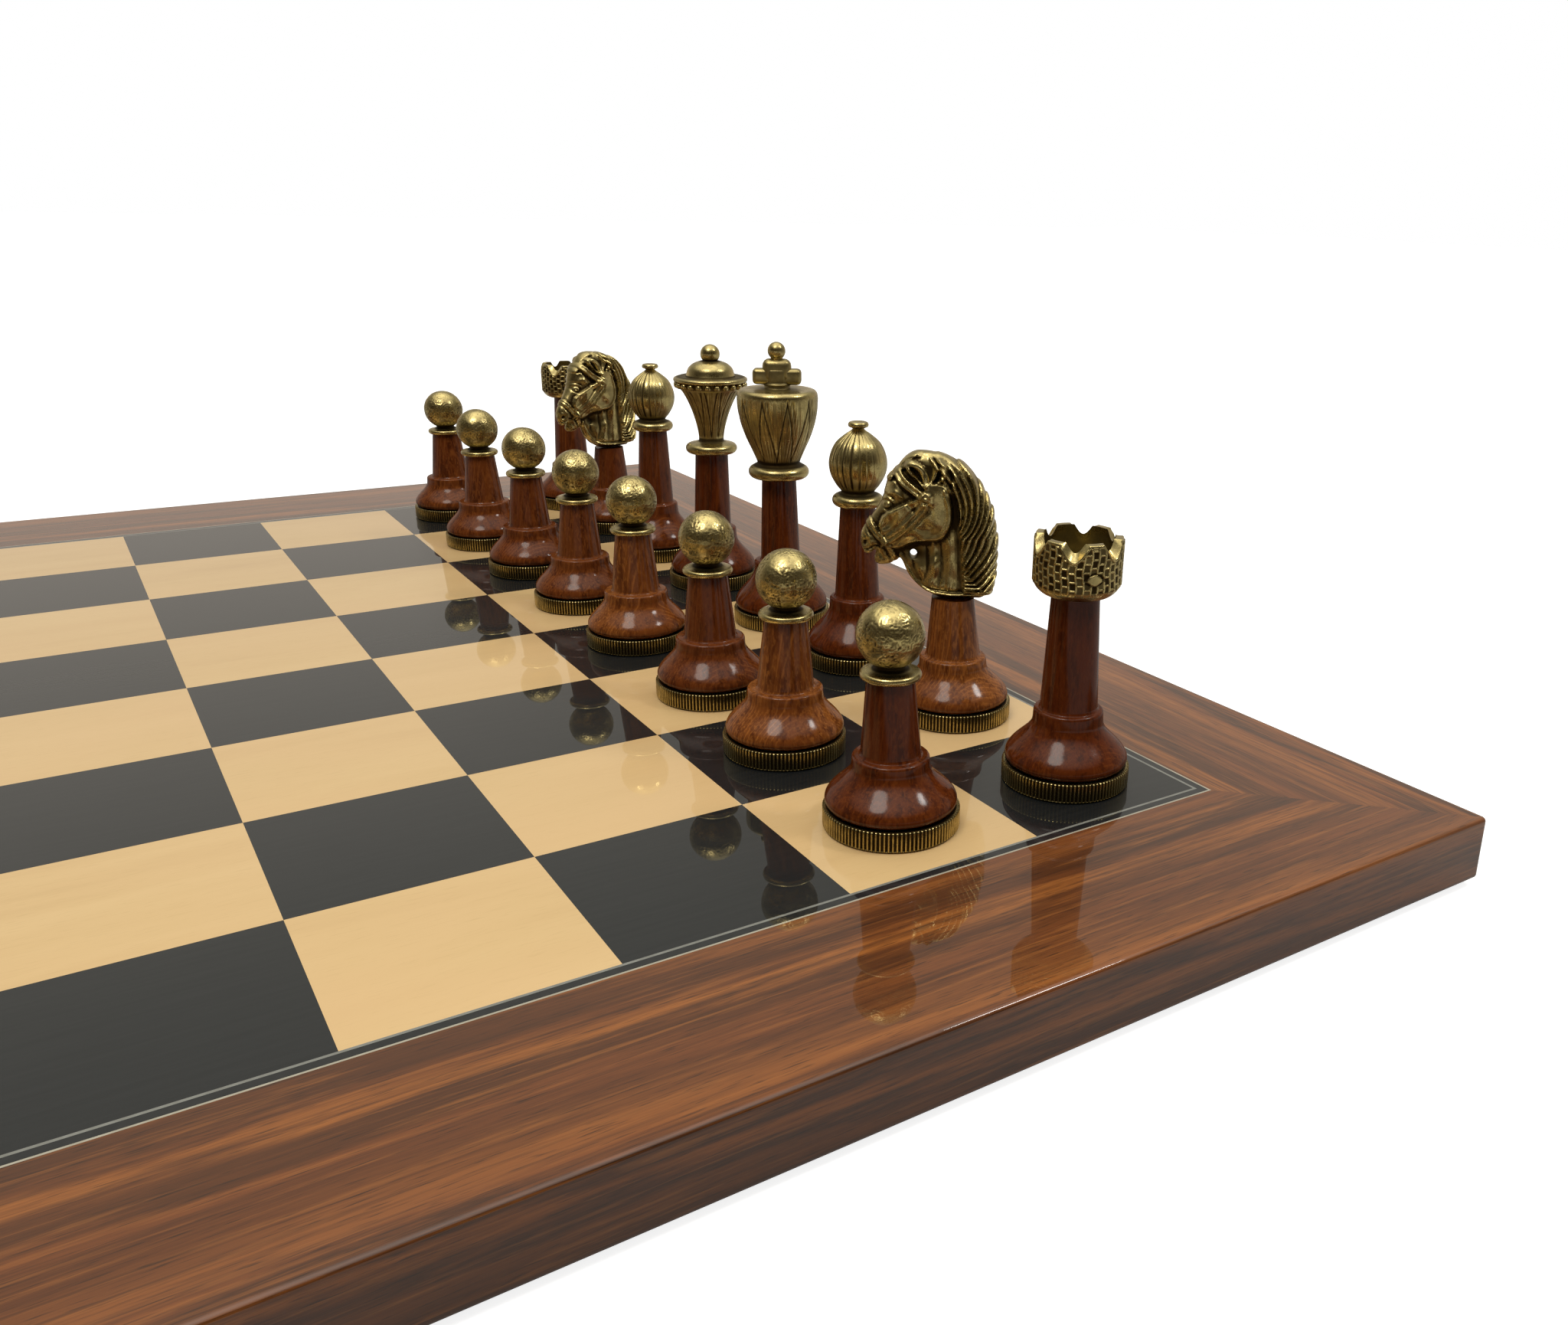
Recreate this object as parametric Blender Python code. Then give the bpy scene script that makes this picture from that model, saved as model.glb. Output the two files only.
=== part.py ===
"""A chess set: an inlaid board and two armies of sixteen men. Metres, +Z up.

The origin is the centre of the board's underside. +X points from the light army's end of the board to
the dark army's end, and +Y from the h file to the a file. Every man stands on its own square under an
empty of its own, and lifts straight up. The dark men are a wooden body and a cast head each; the light
men, which are the same castings, are one solid each.
"""

import math
from dataclasses import dataclass

import bmesh
import bpy

MM = 0.001

# The board, in metres
SQUARE = 50 * MM
SQUARES_A_SIDE = 8
BORDER = 50 * MM
BOARD_HEIGHT = 18 * MM
GAP = 0.3 * MM  # left between faces that touch on the real set
BACKING_HEIGHT = 1.5 * MM
BACKING_INSET = 4 * MM
INLAY_DEPTH = 2 * MM
STRINGING_WIDTH = 3.2 * MM
EDGE_ROUND = 1.4 * MM
EDGE_STEPS = 2

FIELD_HALF = SQUARE * SQUARES_A_SIDE / 2
STRINGING_HALF = FIELD_HALF + STRINGING_WIDTH
BOARD_HALF = FIELD_HALF + BORDER
SLAB_BOTTOM = BACKING_HEIGHT + GAP
INLAY_BOTTOM = BOARD_HEIGHT - INLAY_DEPTH

# The men, in millimetres above the playing surface: (radius, height) pairs run up a turned outline
TURNED_SIDES = 16
ROOK_SIDES = 36
ROOK_NOTCHES = 6
NOTCH_COLUMNS = (4, 5, 0)  # of the columns from one notch to the next, those that the notch lowers
NOTCH_DEPTH = 3.2
RING_RADIUS = 16.0
RING_HEIGHT = 5.0
BELL_RADIUS = 15.4
BELL_HEIGHT = 7.0
CROSS_ARMS = (4.4, 15.6, 5.0)
CROSS_HEIGHT = 82.0
KNIGHT_WIDTH = 12.0
KNIGHT_BEVEL = 1.6
KNIGHT_SEAT_IN_STEM = 1.5

# A man stands a hair above the board, and its head a hair above its stem
STANDING_HEIGHT = BOARD_HEIGHT + GAP
HEAD_LIFT = GAP / MM


@dataclass(frozen=True)
class Stem:
    """The wooden body above its bell: the shoulder, then a stem that narrows to the head. Millimetres."""

    shoulder_radius: float
    shoulder_height: float
    foot_radius: float
    top_radius: float
    top_height: float


STEMS = {
    "pawn": Stem(9.9, 17.0, 7.4, 5.4, 36.0),
    "rook": Stem(8.8, 19.0, 7.2, 5.9, 48.5),
    "knight": Stem(9.2, 17.5, 7.4, 5.8, 34.2),
    "bishop": Stem(8.4, 21.0, 6.7, 5.3, 49.4),
    "queen": Stem(8.6, 21.0, 6.5, 5.8, 48.4),
    "king": Stem(8.8, 21.0, 6.4, 5.6, 49.2),
}

# The outline of a knight's head from the side: (distance in front of the stem's axis, height)
KNIGHT_OUTLINE = [
    (-8.0, 34.5),
    (-10.6, 37.5),
    (-11.7, 47.0),
    (-10.8, 58.0),
    (-7.6, 66.3),
    (-1.5, 72.0),
    (5.2, 74.4),
    (10.3, 74.6),
    (14.2, 71.6),
    (18.2, 65.0),
    (23.6, 54.4),
    (25.0, 50.5),
    (23.8, 45.6),
    (20.6, 43.0),
    (15.4, 44.4),
    (12.3, 41.3),
    (8.6, 36.9),
    (3.5, 34.5),
]

BACK_RANK = ["rook", "knight", "bishop", "king", "queen", "bishop", "knight", "rook"]
FILE_LETTERS = "hgfedcba"
ARMIES = {
    "dark": {"back_square": 7, "pawn_square": 6, "facing_deg": 180.0, "back_shift": 2.5 * MM},
    "light": {"back_square": 0, "pawn_square": 1, "facing_deg": 0.0, "back_shift": 0.0},
}

# back_shift is how far a back rank stands off its squares' middles towards +X. Some men are turned on
# their squares from facing the other army, in degrees about +Z.
TURNED_MEN = {"dark_knight_g": -35.0, "dark_king_e": 58.0, "dark_knight_b": 18.0}

# Men set down by hand stand a little off their places. In millimetres along X and Y.
OFF_PLACE = {
    "dark_rook_h": (-1.2, -3.1),
    "dark_knight_g": (0.0, -2.4),
    "dark_king_e": (-0.4, -1.3),
    "dark_queen_d": (-0.2, 2.5),
    "dark_bishop_c": (-2.1, -0.3),
    "dark_knight_b": (-0.9, 0.5),
    "dark_pawn_h": (0.2, -1.5),
    "dark_pawn_f": (1.4, -3.4),
    "dark_pawn_e": (1.1, 1.0),
    "dark_pawn_d": (0.7, 0.1),
    "dark_pawn_b": (-2.4, -1.6),
    "dark_pawn_a": (-0.6, 2.8),
}

WOOD = (0.18, 0.045, 0.018)
PALE_WOOD = (0.62, 0.38, 0.16)
BRASS = (0.42, 0.32, 0.12)
MAPLE = (0.72, 0.55, 0.33)
ROSEWOOD = (0.25, 0.09, 0.03)
BLACK = (0.02, 0.02, 0.022)
PANEL = (0.45, 0.33, 0.20)
FELT = (0.05, 0.12, 0.06)


def clear_scene():
    for item in list(bpy.data.objects):
        bpy.data.objects.remove(item, do_unlink=True)


def plain_material(name, colour, roughness, metallic=0.0):
    material = bpy.data.materials.new(name)
    material.use_nodes = True
    shader = material.node_tree.nodes["Principled BSDF"]
    shader.inputs["Base Color"].default_value = (*colour, 1.0)
    shader.inputs["Roughness"].default_value = roughness
    shader.inputs["Metallic"].default_value = metallic
    return material


def add_object(name, mesh, material):
    item = bpy.data.objects.new(name, mesh)
    if not mesh.materials:
        mesh.materials.append(material)
    bpy.context.scene.collection.objects.link(item)
    return item


def mesh_from(name, shape, sharp_angle_deg=35.0):
    """Closes a bmesh into a mesh with its faces pointing out, shaded smooth between its sharp edges."""
    bmesh.ops.recalc_face_normals(shape, faces=shape.faces)
    mesh = bpy.data.meshes.new(name)
    shape.to_mesh(mesh)
    shape.free()
    mesh.shade_smooth()
    mesh.set_sharp_from_angle(angle=math.radians(sharp_angle_deg))
    return mesh


# Board


def slab_mesh(name, half_x, half_y, bottom, top):
    shape = bmesh.new()
    bmesh.ops.create_cube(shape, size=1.0)
    for vertex in shape.verts:
        vertex.co.x *= 2 * half_x
        vertex.co.y *= 2 * half_y
        vertex.co.z = top if vertex.co.z > 0 else bottom
    return mesh_from(name, shape)


def extruded_outline(outline, height):
    """A prism over a closed outline of 3-D points that lie in one plane, extruded along that plane's Z."""
    shape = bmesh.new()
    corners = [shape.verts.new(point) for point in outline]
    face = shape.faces.new(corners)
    risen = bmesh.ops.extrude_face_region(shape, geom=[face])
    tops = [part for part in risen["geom"] if isinstance(part, bmesh.types.BMVert)]
    bmesh.ops.translate(shape, verts=tops, vec=(0.0, 0.0, height))
    return shape


def rail_mesh(name):
    """The border rail on the -Y side: a mitred length with its two outer long edges rounded."""
    mitre_clearance = GAP / math.sqrt(2)
    inner_half = STRINGING_HALF + GAP / 2
    outline = [
        (-BOARD_HALF + mitre_clearance, -BOARD_HALF, SLAB_BOTTOM),
        (BOARD_HALF - mitre_clearance, -BOARD_HALF, SLAB_BOTTOM),
        (inner_half - mitre_clearance, -inner_half, SLAB_BOTTOM),
        (-inner_half + mitre_clearance, -inner_half, SLAB_BOTTOM),
    ]
    shape = extruded_outline(outline, BOARD_HEIGHT - SLAB_BOTTOM)
    outer_long_edges = [
        edge
        for edge in shape.edges
        if all(abs(vertex.co.y + BOARD_HALF) < EDGE_ROUND / 2 for vertex in edge.verts)
        and abs(edge.verts[0].co.x - edge.verts[1].co.x) > BORDER
    ]
    bmesh.ops.bevel(
        shape,
        geom=outer_long_edges,
        offset=EDGE_ROUND,
        segments=EDGE_STEPS,
        profile=0.5,
        affect="EDGES",
    )
    return mesh_from(name, shape)


def square_ring_mesh(name, outer_half, inner_half, bottom, top):
    """A square band lying flat, open in the middle."""
    shape = bmesh.new()
    corners = [(-1, -1), (1, -1), (1, 1), (-1, 1)]
    loops = []
    for half, height in ((outer_half, bottom), (outer_half, top), (inner_half, top), (inner_half, bottom)):
        loops.append([shape.verts.new((x * half, y * half, height)) for x, y in corners])
    for first, second in zip(loops, loops[1:] + loops[:1]):
        for i in range(len(corners)):
            j = (i + 1) % len(corners)
            shape.faces.new([first[i], first[j], second[j], second[i]])
    return mesh_from(name, shape)


def build_board():
    half_gap = GAP / 2
    rosewood = plain_material("rosewood_veneer", ROSEWOOD, 0.2)
    backing = slab_mesh(
        "base_backing", BOARD_HALF - BACKING_INSET, BOARD_HALF - BACKING_INSET, 0.0, BACKING_HEIGHT
    )
    add_object("base_backing", backing, plain_material("felt", FELT, 0.9))
    core_half = STRINGING_HALF - half_gap
    core = slab_mesh("board_core", core_half, core_half, SLAB_BOTTOM, INLAY_BOTTOM - GAP)
    add_object("board_core", core, plain_material("panel", PANEL, 0.7))
    field_half = FIELD_HALF - half_gap
    field = slab_mesh("playing_field", field_half, field_half, INLAY_BOTTOM, BOARD_HEIGHT)
    add_object("playing_field", field, plain_material("maple_veneer", MAPLE, 0.2))
    band = square_ring_mesh(
        "inlay_band", STRINGING_HALF - half_gap, FIELD_HALF + half_gap, INLAY_BOTTOM, BOARD_HEIGHT
    )
    add_object("inlay_band", band, plain_material("black_stringing", BLACK, 0.2))
    rail = rail_mesh("border_rail")
    for quarter_turns, name in enumerate(["border_front", "border_right", "border_back", "border_left"]):
        item = add_object(name, rail, rosewood)
        item.rotation_euler.z = quarter_turns * math.pi / 2


# Turned outlines of the men


def ball_points(centre, radius, angles_deg):
    return [
        (radius * math.cos(math.radians(a)), centre + radius * math.sin(math.radians(a))) for a in angles_deg
    ]


def body_points(kind, joined_to_head):
    """Ribbed ring, bell, shoulder and stem. A stem joined to a knight's head runs a little way into it."""
    stem = STEMS[kind]
    bell_middle_radius = (BELL_RADIUS + stem.shoulder_radius) / 2
    bell_middle_height = (BELL_HEIGHT + stem.shoulder_height) / 2
    top = stem.top_height
    if joined_to_head and kind == "knight":
        top += KNIGHT_SEAT_IN_STEM
    return [
        (RING_RADIUS, 0.0),
        (RING_RADIUS, RING_HEIGHT),
        (BELL_RADIUS, BELL_HEIGHT),
        (bell_middle_radius, bell_middle_height),
        (stem.shoulder_radius, stem.shoulder_height),
        (stem.foot_radius, stem.shoulder_height + 0.8),
        (stem.top_radius, top),
    ]


def pawn_head_points():
    return [(7.0, 36.2), (7.0, 37.9), (3.6, 38.6)] + ball_points(46.1, 7.7, [-50, 0, 50]) + [(0.0, 53.8)]


def rook_head_points():
    """Up the outside of the cup, over the battlement and down to the cup's floor."""
    return [(6.2, 48.7), (10.4, 50.2), (10.6, 63.5), (8.7, 63.5), (8.7, 56.5), (0.0, 56.5)]


def bishop_head_points():
    collar = [(7.7, 49.7), (7.7, 52.6), (5.2, 53.6)]
    onion = [(8.7, 61.5), (7.3, 67.5), (3.2, 72.4)]
    return collar + onion + [(3.05, 74.2), (2.2, 75.6), (0.0, 75.6)]


def queen_head_points():
    collar = [(9.15, 48.7), (9.15, 51.8), (4.3, 53.0)]
    cup = [(7.4, 63.5), (12.9, 74.0)]
    dome = [(8.6, 75.0), (6.4, 78.8), (2.0, 80.2)]
    return collar + cup + dome + [(3.45, 83.2), (0.0, 86.7)]


def king_head_points():
    collar = [(9.9, 49.5), (9.9, 53.0), (6.9, 54.6)]
    cup = [(11.4, 65.0), (13.1, 73.5), (12.2, 77.4)]
    cross_post = [(4.0, 78.0), (4.4, 85.0), (2.2, 87.6)]
    return collar + cup + cross_post + [(2.8, 90.1), (0.0, 92.9)]


HEAD_POINTS = {
    "pawn": pawn_head_points,
    "rook": rook_head_points,
    "bishop": bishop_head_points,
    "queen": queen_head_points,
    "king": king_head_points,
}


def turned_shape(points, sides):
    """Spins an outline of (radius, height) in millimetres round +Z, closed on the axis at both ends."""
    if points[0][0] > 0:
        points = [(0.0, points[0][1])] + points
    if points[-1][0] > 0:
        points = points + [(0.0, points[-1][1])]
    shape = bmesh.new()
    verts = [shape.verts.new((radius * MM, 0.0, height * MM)) for radius, height in points]
    edges = [shape.edges.new(pair) for pair in zip(verts, verts[1:])]
    bmesh.ops.spin(
        shape,
        geom=verts + edges,
        cent=(0.0, 0.0, 0.0),
        axis=(0.0, 0.0, 1.0),
        angle=2 * math.pi,
        steps=sides,
    )
    bmesh.ops.remove_doubles(shape, verts=shape.verts, dist=0.001 * MM)
    return shape


def cut_battlement(shape):
    """Lowers some columns of rim points, which leaves sloping notches between the merlons."""
    rim_height = max(vertex.co.z for vertex in shape.verts)
    columns_per_notch = ROOK_SIDES // ROOK_NOTCHES
    for vertex in shape.verts:
        turn = math.atan2(vertex.co.y, vertex.co.x) / (2 * math.pi)
        column = round(turn * ROOK_SIDES) % columns_per_notch
        if vertex.co.z > rim_height - 0.1 * MM and column in NOTCH_COLUMNS:
            vertex.co.z -= NOTCH_DEPTH * MM


def knight_head_mesh(name):
    """The head's outline, which looks along +X, extruded across Y and bevelled all round."""
    outline = [(x * MM, z * MM, -KNIGHT_WIDTH * MM / 2) for x, z in KNIGHT_OUTLINE]
    shape = extruded_outline(outline, KNIGHT_WIDTH * MM)
    side_edges = [
        edge for edge in shape.edges if abs(edge.verts[0].co.z - edge.verts[1].co.z) < KNIGHT_BEVEL * MM
    ]
    bmesh.ops.bevel(
        shape, geom=side_edges, offset=KNIGHT_BEVEL * MM, segments=1, profile=0.5, affect="EDGES"
    )
    for vertex in shape.verts:
        forward, up, across = vertex.co
        vertex.co = (forward, -across, up)
    return mesh_from(name, shape)


def cross_arms_mesh(name):
    shape = bmesh.new()
    bmesh.ops.create_cube(shape, size=1.0)
    depth, width, height = CROSS_ARMS
    for vertex in shape.verts:
        vertex.co.x *= depth * MM
        vertex.co.y *= width * MM
        vertex.co.z = (CROSS_HEIGHT + vertex.co.z * height) * MM
    return mesh_from(name, shape)


def unite(item, other_mesh, material):
    """Joins a second shape to an object with a union, and leaves the second one as a hidden guide."""
    guide = add_object(item.name + "_guide", other_mesh, material)
    guide.parent = item
    guide.hide_render = True
    guide.display_type = "WIRE"
    union = item.modifiers.new("join", "BOOLEAN")
    union.operation = "UNION"
    union.solver = "EXACT"
    union.object = guide


class ManMeshes:
    """The meshes that every man of one kind shares, and the materials of its army."""

    def __init__(self, army):
        timber = WOOD if army == "dark" else PALE_WOOD
        self.wood = plain_material(army + "_wood", timber, 0.25)
        self.brass = plain_material(army + "_brass", BRASS, 0.35, 1.0)
        self.army = army
        self.made = {}

    def get(self, kind, part):
        if (kind, part) not in self.made:
            self.made[kind, part] = self.make(kind, part)
        return self.made[kind, part]

    def make(self, kind, part):
        name = f"{self.army}_{kind}_{part}"
        sides = ROOK_SIDES if kind == "rook" and part != "body" else TURNED_SIDES
        if part == "body":
            points = body_points(kind, joined_to_head=False)
        elif kind == "knight" and part == "head":
            return knight_head_mesh(name)
        elif kind == "knight":
            points = body_points(kind, joined_to_head=True)
        elif part == "head":
            points = [(radius, height + HEAD_LIFT) for radius, height in HEAD_POINTS[kind]()]
        else:
            points = body_points(kind, joined_to_head=True) + HEAD_POINTS[kind]()
        shape = turned_shape(points, sides)
        if kind == "rook" and part != "body":
            cut_battlement(shape)
        return mesh_from(name, shape)


def place_man(army, kind, file_index, square):
    """An empty where the man stands on its square, turned the way the man faces."""
    name = f"{army}_{kind}_{FILE_LETTERS[file_index]}"
    stand = bpy.data.objects.new(name + "_stand", None)
    bpy.context.scene.collection.objects.link(stand)
    middle = (SQUARES_A_SIDE - 1) / 2
    shift = 0.0 if kind == "pawn" else ARMIES[army]["back_shift"]
    off_x, off_y = OFF_PLACE.get(name, (0.0, 0.0))
    x = (square - middle) * SQUARE + shift + off_x * MM
    y = (file_index - middle) * SQUARE + off_y * MM
    stand.location = (x, y, STANDING_HEIGHT)
    facing = ARMIES[army]["facing_deg"] + TURNED_MEN.get(name, 0.0)
    stand.rotation_euler.z = math.radians(facing)
    return name, stand


def build_dark_man(meshes, kind, name, stand):
    body = add_object(name + "_body", meshes.get(kind, "body"), meshes.wood)
    head = add_object(name + "_head", meshes.get(kind, "head"), meshes.brass)
    for item in (body, head):
        item.parent = stand
    if kind == "king":
        unite(head, cross_arms_mesh(name + "_arms"), meshes.brass)


def build_light_man(meshes, kind, name, stand):
    """Wood and casting in one solid."""
    man = add_object(name, meshes.get(kind, "whole"), meshes.wood)
    man.parent = stand
    if kind == "king":
        unite(man, cross_arms_mesh(name + "_arms"), meshes.brass)
    if kind == "knight":
        unite(man, knight_head_mesh(name + "_horse"), meshes.brass)


def build_army(army):
    meshes = ManMeshes(army)
    build_man = build_dark_man if army == "dark" else build_light_man
    for file_index in range(SQUARES_A_SIDE):
        ranks = [
            (BACK_RANK[file_index], ARMIES[army]["back_square"]),
            ("pawn", ARMIES[army]["pawn_square"]),
        ]
        for kind, square in ranks:
            name, stand = place_man(army, kind, file_index, square)
            build_man(meshes, kind, name, stand)


def main():
    clear_scene()
    build_board()
    for army in ARMIES:
        build_army(army)


main()
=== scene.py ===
"""The looks of the chess set: a lacquered inlaid board, and turned wooden men with cast brass heads.

The board's pieces are made where the CAD says it lies. A man is made once for each kind, in millimetres
with its foot at height 0 and facing +X, and is copied to wherever the CAD model's men stand. Cast relief
also marks each point with how dark it is painted, for patina and for painted shade, in one attribute.
"""

import math

import bmesh
import bpy
import numpy as np
from mathutils import Matrix, Vector, noise


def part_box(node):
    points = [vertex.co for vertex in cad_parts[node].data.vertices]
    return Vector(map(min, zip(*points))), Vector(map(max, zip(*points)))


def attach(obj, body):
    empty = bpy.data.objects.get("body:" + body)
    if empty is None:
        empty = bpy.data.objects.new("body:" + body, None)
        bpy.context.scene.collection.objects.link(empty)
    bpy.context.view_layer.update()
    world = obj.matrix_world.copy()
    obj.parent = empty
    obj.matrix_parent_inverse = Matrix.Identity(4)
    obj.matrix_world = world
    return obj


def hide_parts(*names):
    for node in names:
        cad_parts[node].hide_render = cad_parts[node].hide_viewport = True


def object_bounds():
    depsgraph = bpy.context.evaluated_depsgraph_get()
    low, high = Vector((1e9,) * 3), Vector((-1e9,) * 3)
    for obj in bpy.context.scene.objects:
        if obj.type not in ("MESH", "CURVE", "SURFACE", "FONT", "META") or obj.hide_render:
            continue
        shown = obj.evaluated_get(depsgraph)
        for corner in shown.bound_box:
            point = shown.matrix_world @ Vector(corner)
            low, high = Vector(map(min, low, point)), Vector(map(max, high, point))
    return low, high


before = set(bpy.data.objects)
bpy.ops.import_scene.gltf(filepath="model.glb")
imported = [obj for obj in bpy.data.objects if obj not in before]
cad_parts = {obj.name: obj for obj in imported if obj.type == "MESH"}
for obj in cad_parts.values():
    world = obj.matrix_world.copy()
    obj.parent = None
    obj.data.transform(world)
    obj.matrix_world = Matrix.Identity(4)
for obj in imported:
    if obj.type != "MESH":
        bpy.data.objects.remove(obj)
cad_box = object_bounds()

MM = 0.001
TURN = 2 * math.pi
# The attribute of how dark each point is painted: patina in the hollows, and painted shade under, inside and
# behind parts
PATINA_AND_SHADE = "patina_and_shade"

# The board, in metres, from the CAD model
BOARD_LOW, BOARD_HIGH = Vector(cad_box[0]), Vector(cad_box[1])
BOARD_HALF = (BOARD_HIGH.x - BOARD_LOW.x) / 2
SQUARES_ACROSS = 10  # eight playing squares, and a border one square wide on each side
SQUARE = 2 * BOARD_HALF / SQUARES_ACROSS
FIELD_HALF = 4 * SQUARE
BOARD_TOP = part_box("playing_field")[1].z
EDGE_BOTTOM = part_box("border_front")[0].z
INLAY_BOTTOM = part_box("playing_field")[0].z

# The stringing round the field, from the field outwards
GREY_LINE = 0.7 * MM
BLACK_LINE = 2.0 * MM
WHITE_LINE = 0.5 * MM
EDGE_ROUND = 1.0 * MM
EDGE_STEPS = 5
CORNER_ROUND = 1.6 * MM
CORNER_STEPS = 4
FLAT_MARGIN = 0.3 * MM  # a narrow strip beside each rounding, which keeps the wide faces truly flat
VENEER_STEP = 0.01 * MM  # the stringing stands this much proud of the squares

# The men, in millimetres
FOOT_CLEARANCE = 0.05
RING_RADIUS = 16.0
RING_HEIGHT = 5.0
RING_RIBS = 104
RIB_COLUMNS = 6
BELL_RADIUS = 15.4
BELL_WIDEST = 6.75
BELL_FOOT_ROUND = 1.6
TURNED_COLUMNS = 72
HEAD_COLUMNS = {"pawn": 180, "rook": 384, "bishop": 264, "queen": 264, "king": 288}
PAD_RADIUS = 14.8
PAD_HEIGHT = 0.45
SHARP_WOOD = 40  # in degrees, as the next is: edges this sharp are shaded as edges
SHARP_CAST = 60

FILE_LETTERS = "hgfedcba"
BACK_RANK = ["rook", "knight", "bishop", "king", "queen", "bishop", "knight", "rook"]


# Meshes


def new_mesh(name, points, faces):
    mesh = bpy.data.meshes.new(name)
    mesh.from_pydata(points, [], faces)
    return mesh


def level_square(half, z):
    """The four corners of a level square about the Z axis."""
    return [(-half, -half, z), (half, -half, z), (half, half, z), (-half, half, z)]


class Shape:
    """Gathers vertices, faces and each point's painted darkness (patina and painted shade), in millimetres,
    from one or more closed shells.
    """

    def __init__(self):
        self.points = []
        self.patina_and_shade = []
        self.faces = []
        self.count = 0

    def add(self, points, faces, patina_and_shade=None):
        points = np.asarray(points, float).reshape(-1, 3)
        if patina_and_shade is None:
            patina_and_shade = np.zeros(len(points))
        self.points.append(points)
        self.patina_and_shade.append(np.broadcast_to(np.asarray(patina_and_shade, float), (len(points),)))
        self.faces += [[corner + self.count for corner in face] for face in faces]
        self.count += len(points)
        return self

    def mesh(self, name, sharp_deg=50.0):
        mesh = new_mesh(name, np.concatenate(self.points) * MM, self.faces)
        values = np.clip(np.concatenate(self.patina_and_shade), 0.0, 1.0).astype(np.float32)
        mesh.attributes.new(PATINA_AND_SHADE, "FLOAT", "POINT").data.foreach_set("value", values)
        mesh.shade_smooth()
        mesh.set_sharp_from_angle(angle=math.radians(sharp_deg))
        return mesh


def rounded(corners, steps=4):
    """A line through (radius, height, rounding) corners, each turned into a short curve of its rounding."""
    line = []
    for i, (r, z, rounding) in enumerate(corners):
        here = np.array([r, z], float)
        if rounding == 0 or i in (0, len(corners) - 1):
            line.append(here)
            continue
        before = np.array(corners[i - 1][:2], float) - here
        after = np.array(corners[i + 1][:2], float) - here
        start = here + before / np.linalg.norm(before) * rounding
        end = here + after / np.linalg.norm(after) * rounding
        for t in np.linspace(0, 1, steps + 1):
            line.append((1 - t) ** 2 * start + 2 * t * (1 - t) * here + t**2 * end)
    return np.array(line)


def flowing(points, per_span=6):
    """A smooth curve through every one of the points."""
    points = np.array(points, float)
    padded = np.vstack([2 * points[0] - points[1], points, 2 * points[-1] - points[-2]])
    line = []
    for i in range(len(points) - 1):
        a, b, c, d = padded[i : i + 4]
        for t in np.arange(per_span) / per_span:
            tangents = (c - a) * t + (2 * a - 5 * b + 4 * c - d) * t**2 + (3 * b - a - 3 * c + d) * t**3
            line.append(b + tangents / 2)
    line.append(points[-1])
    return np.array(line)


def arc(centre, radius, from_deg, to_deg, steps):
    angles = np.radians(np.linspace(from_deg, to_deg, steps + 1))
    return np.column_stack([centre[0] + radius * np.cos(angles), centre[1] + radius * np.sin(angles)])


def turned(outline, columns, relief=None, closed=False):
    """Spins an outline that runs up the outside. Its ends close on the axis, or on each other if closed.

    relief(angle, radius, height) gives a shift outwards, a shift upwards and the painted darkness at each
    point, for patina and painted shade.
    """
    outline = np.asarray(outline, float)
    rows = len(outline)
    angle = (np.arange(columns) * TURN / columns)[None, :]
    radius, height = outline[:, :1], outline[:, 1:]
    out = up = patina_and_shade = np.zeros((rows, columns))
    if relief:
        out, up, patina_and_shade = (np.broadcast_to(part, (rows, columns)) for part in relief(angle, radius, height))
    reach = radius + out
    points = np.stack([reach * np.cos(angle), reach * np.sin(angle), height + up], axis=-1).reshape(-1, 3)
    index = np.arange(rows * columns).reshape(rows, columns)
    low, high = index[:-1], index[1:]
    if closed:
        low, high = index, np.roll(index, -1, axis=0)
    quads = np.stack([low, np.roll(low, -1, axis=1), np.roll(high, -1, axis=1), high], axis=-1)
    faces = quads.reshape(-1, 4).tolist()
    patina_and_shade = patina_and_shade.reshape(-1)
    if not closed:
        low_pole, high_pole = rows * columns, rows * columns + 1
        ends = [[0.0, 0.0, outline[0, 1]], [0.0, 0.0, outline[-1, 1]]]
        points = np.vstack([points, ends])
        patina_and_shade = np.append(patina_and_shade, [0.0, 0.0])
        for a, b in zip(index[0].tolist(), np.roll(index[0], -1).tolist()):
            faces.append([b, a, low_pole])
        for a, b in zip(index[-1].tolist(), np.roll(index[-1], -1).tolist()):
            faces.append([a, b, high_pole])
    return points, faces, patina_and_shade


def spun(outline, columns, relief=None, closed=False):
    """A shape of one turned shell."""
    return Shape().add(*turned(outline, columns, relief, closed))


def block(size, rounding, steps):
    """A box with its edges and corners rounded, centred on the origin: points and faces."""
    shape = bmesh.new()
    bmesh.ops.create_cube(shape, size=1.0)
    for vertex in shape.verts:
        vertex.co = Vector(a * b for a, b in zip(vertex.co, size))
    bmesh.ops.bevel(shape, geom=shape.edges, offset=rounding, segments=steps, profile=0.5, affect="EDGES")
    shape.verts.index_update()
    points = np.array([vertex.co for vertex in shape.verts])
    faces = [[vertex.index for vertex in face.verts] for face in shape.faces]
    shape.free()
    return points, faces


def smooth_step(x, low, high):
    t = np.clip((x - low) / (high - low), 0.0, 1.0)
    return t * t * (3 - 2 * t)


def within(x, rise_from, rise_to, fall_from, fall_to):
    """1 between two soft limits, and 0 outside them."""
    return smooth_step(x, rise_from, rise_to) * (1 - smooth_step(x, fall_from, fall_to))


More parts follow.
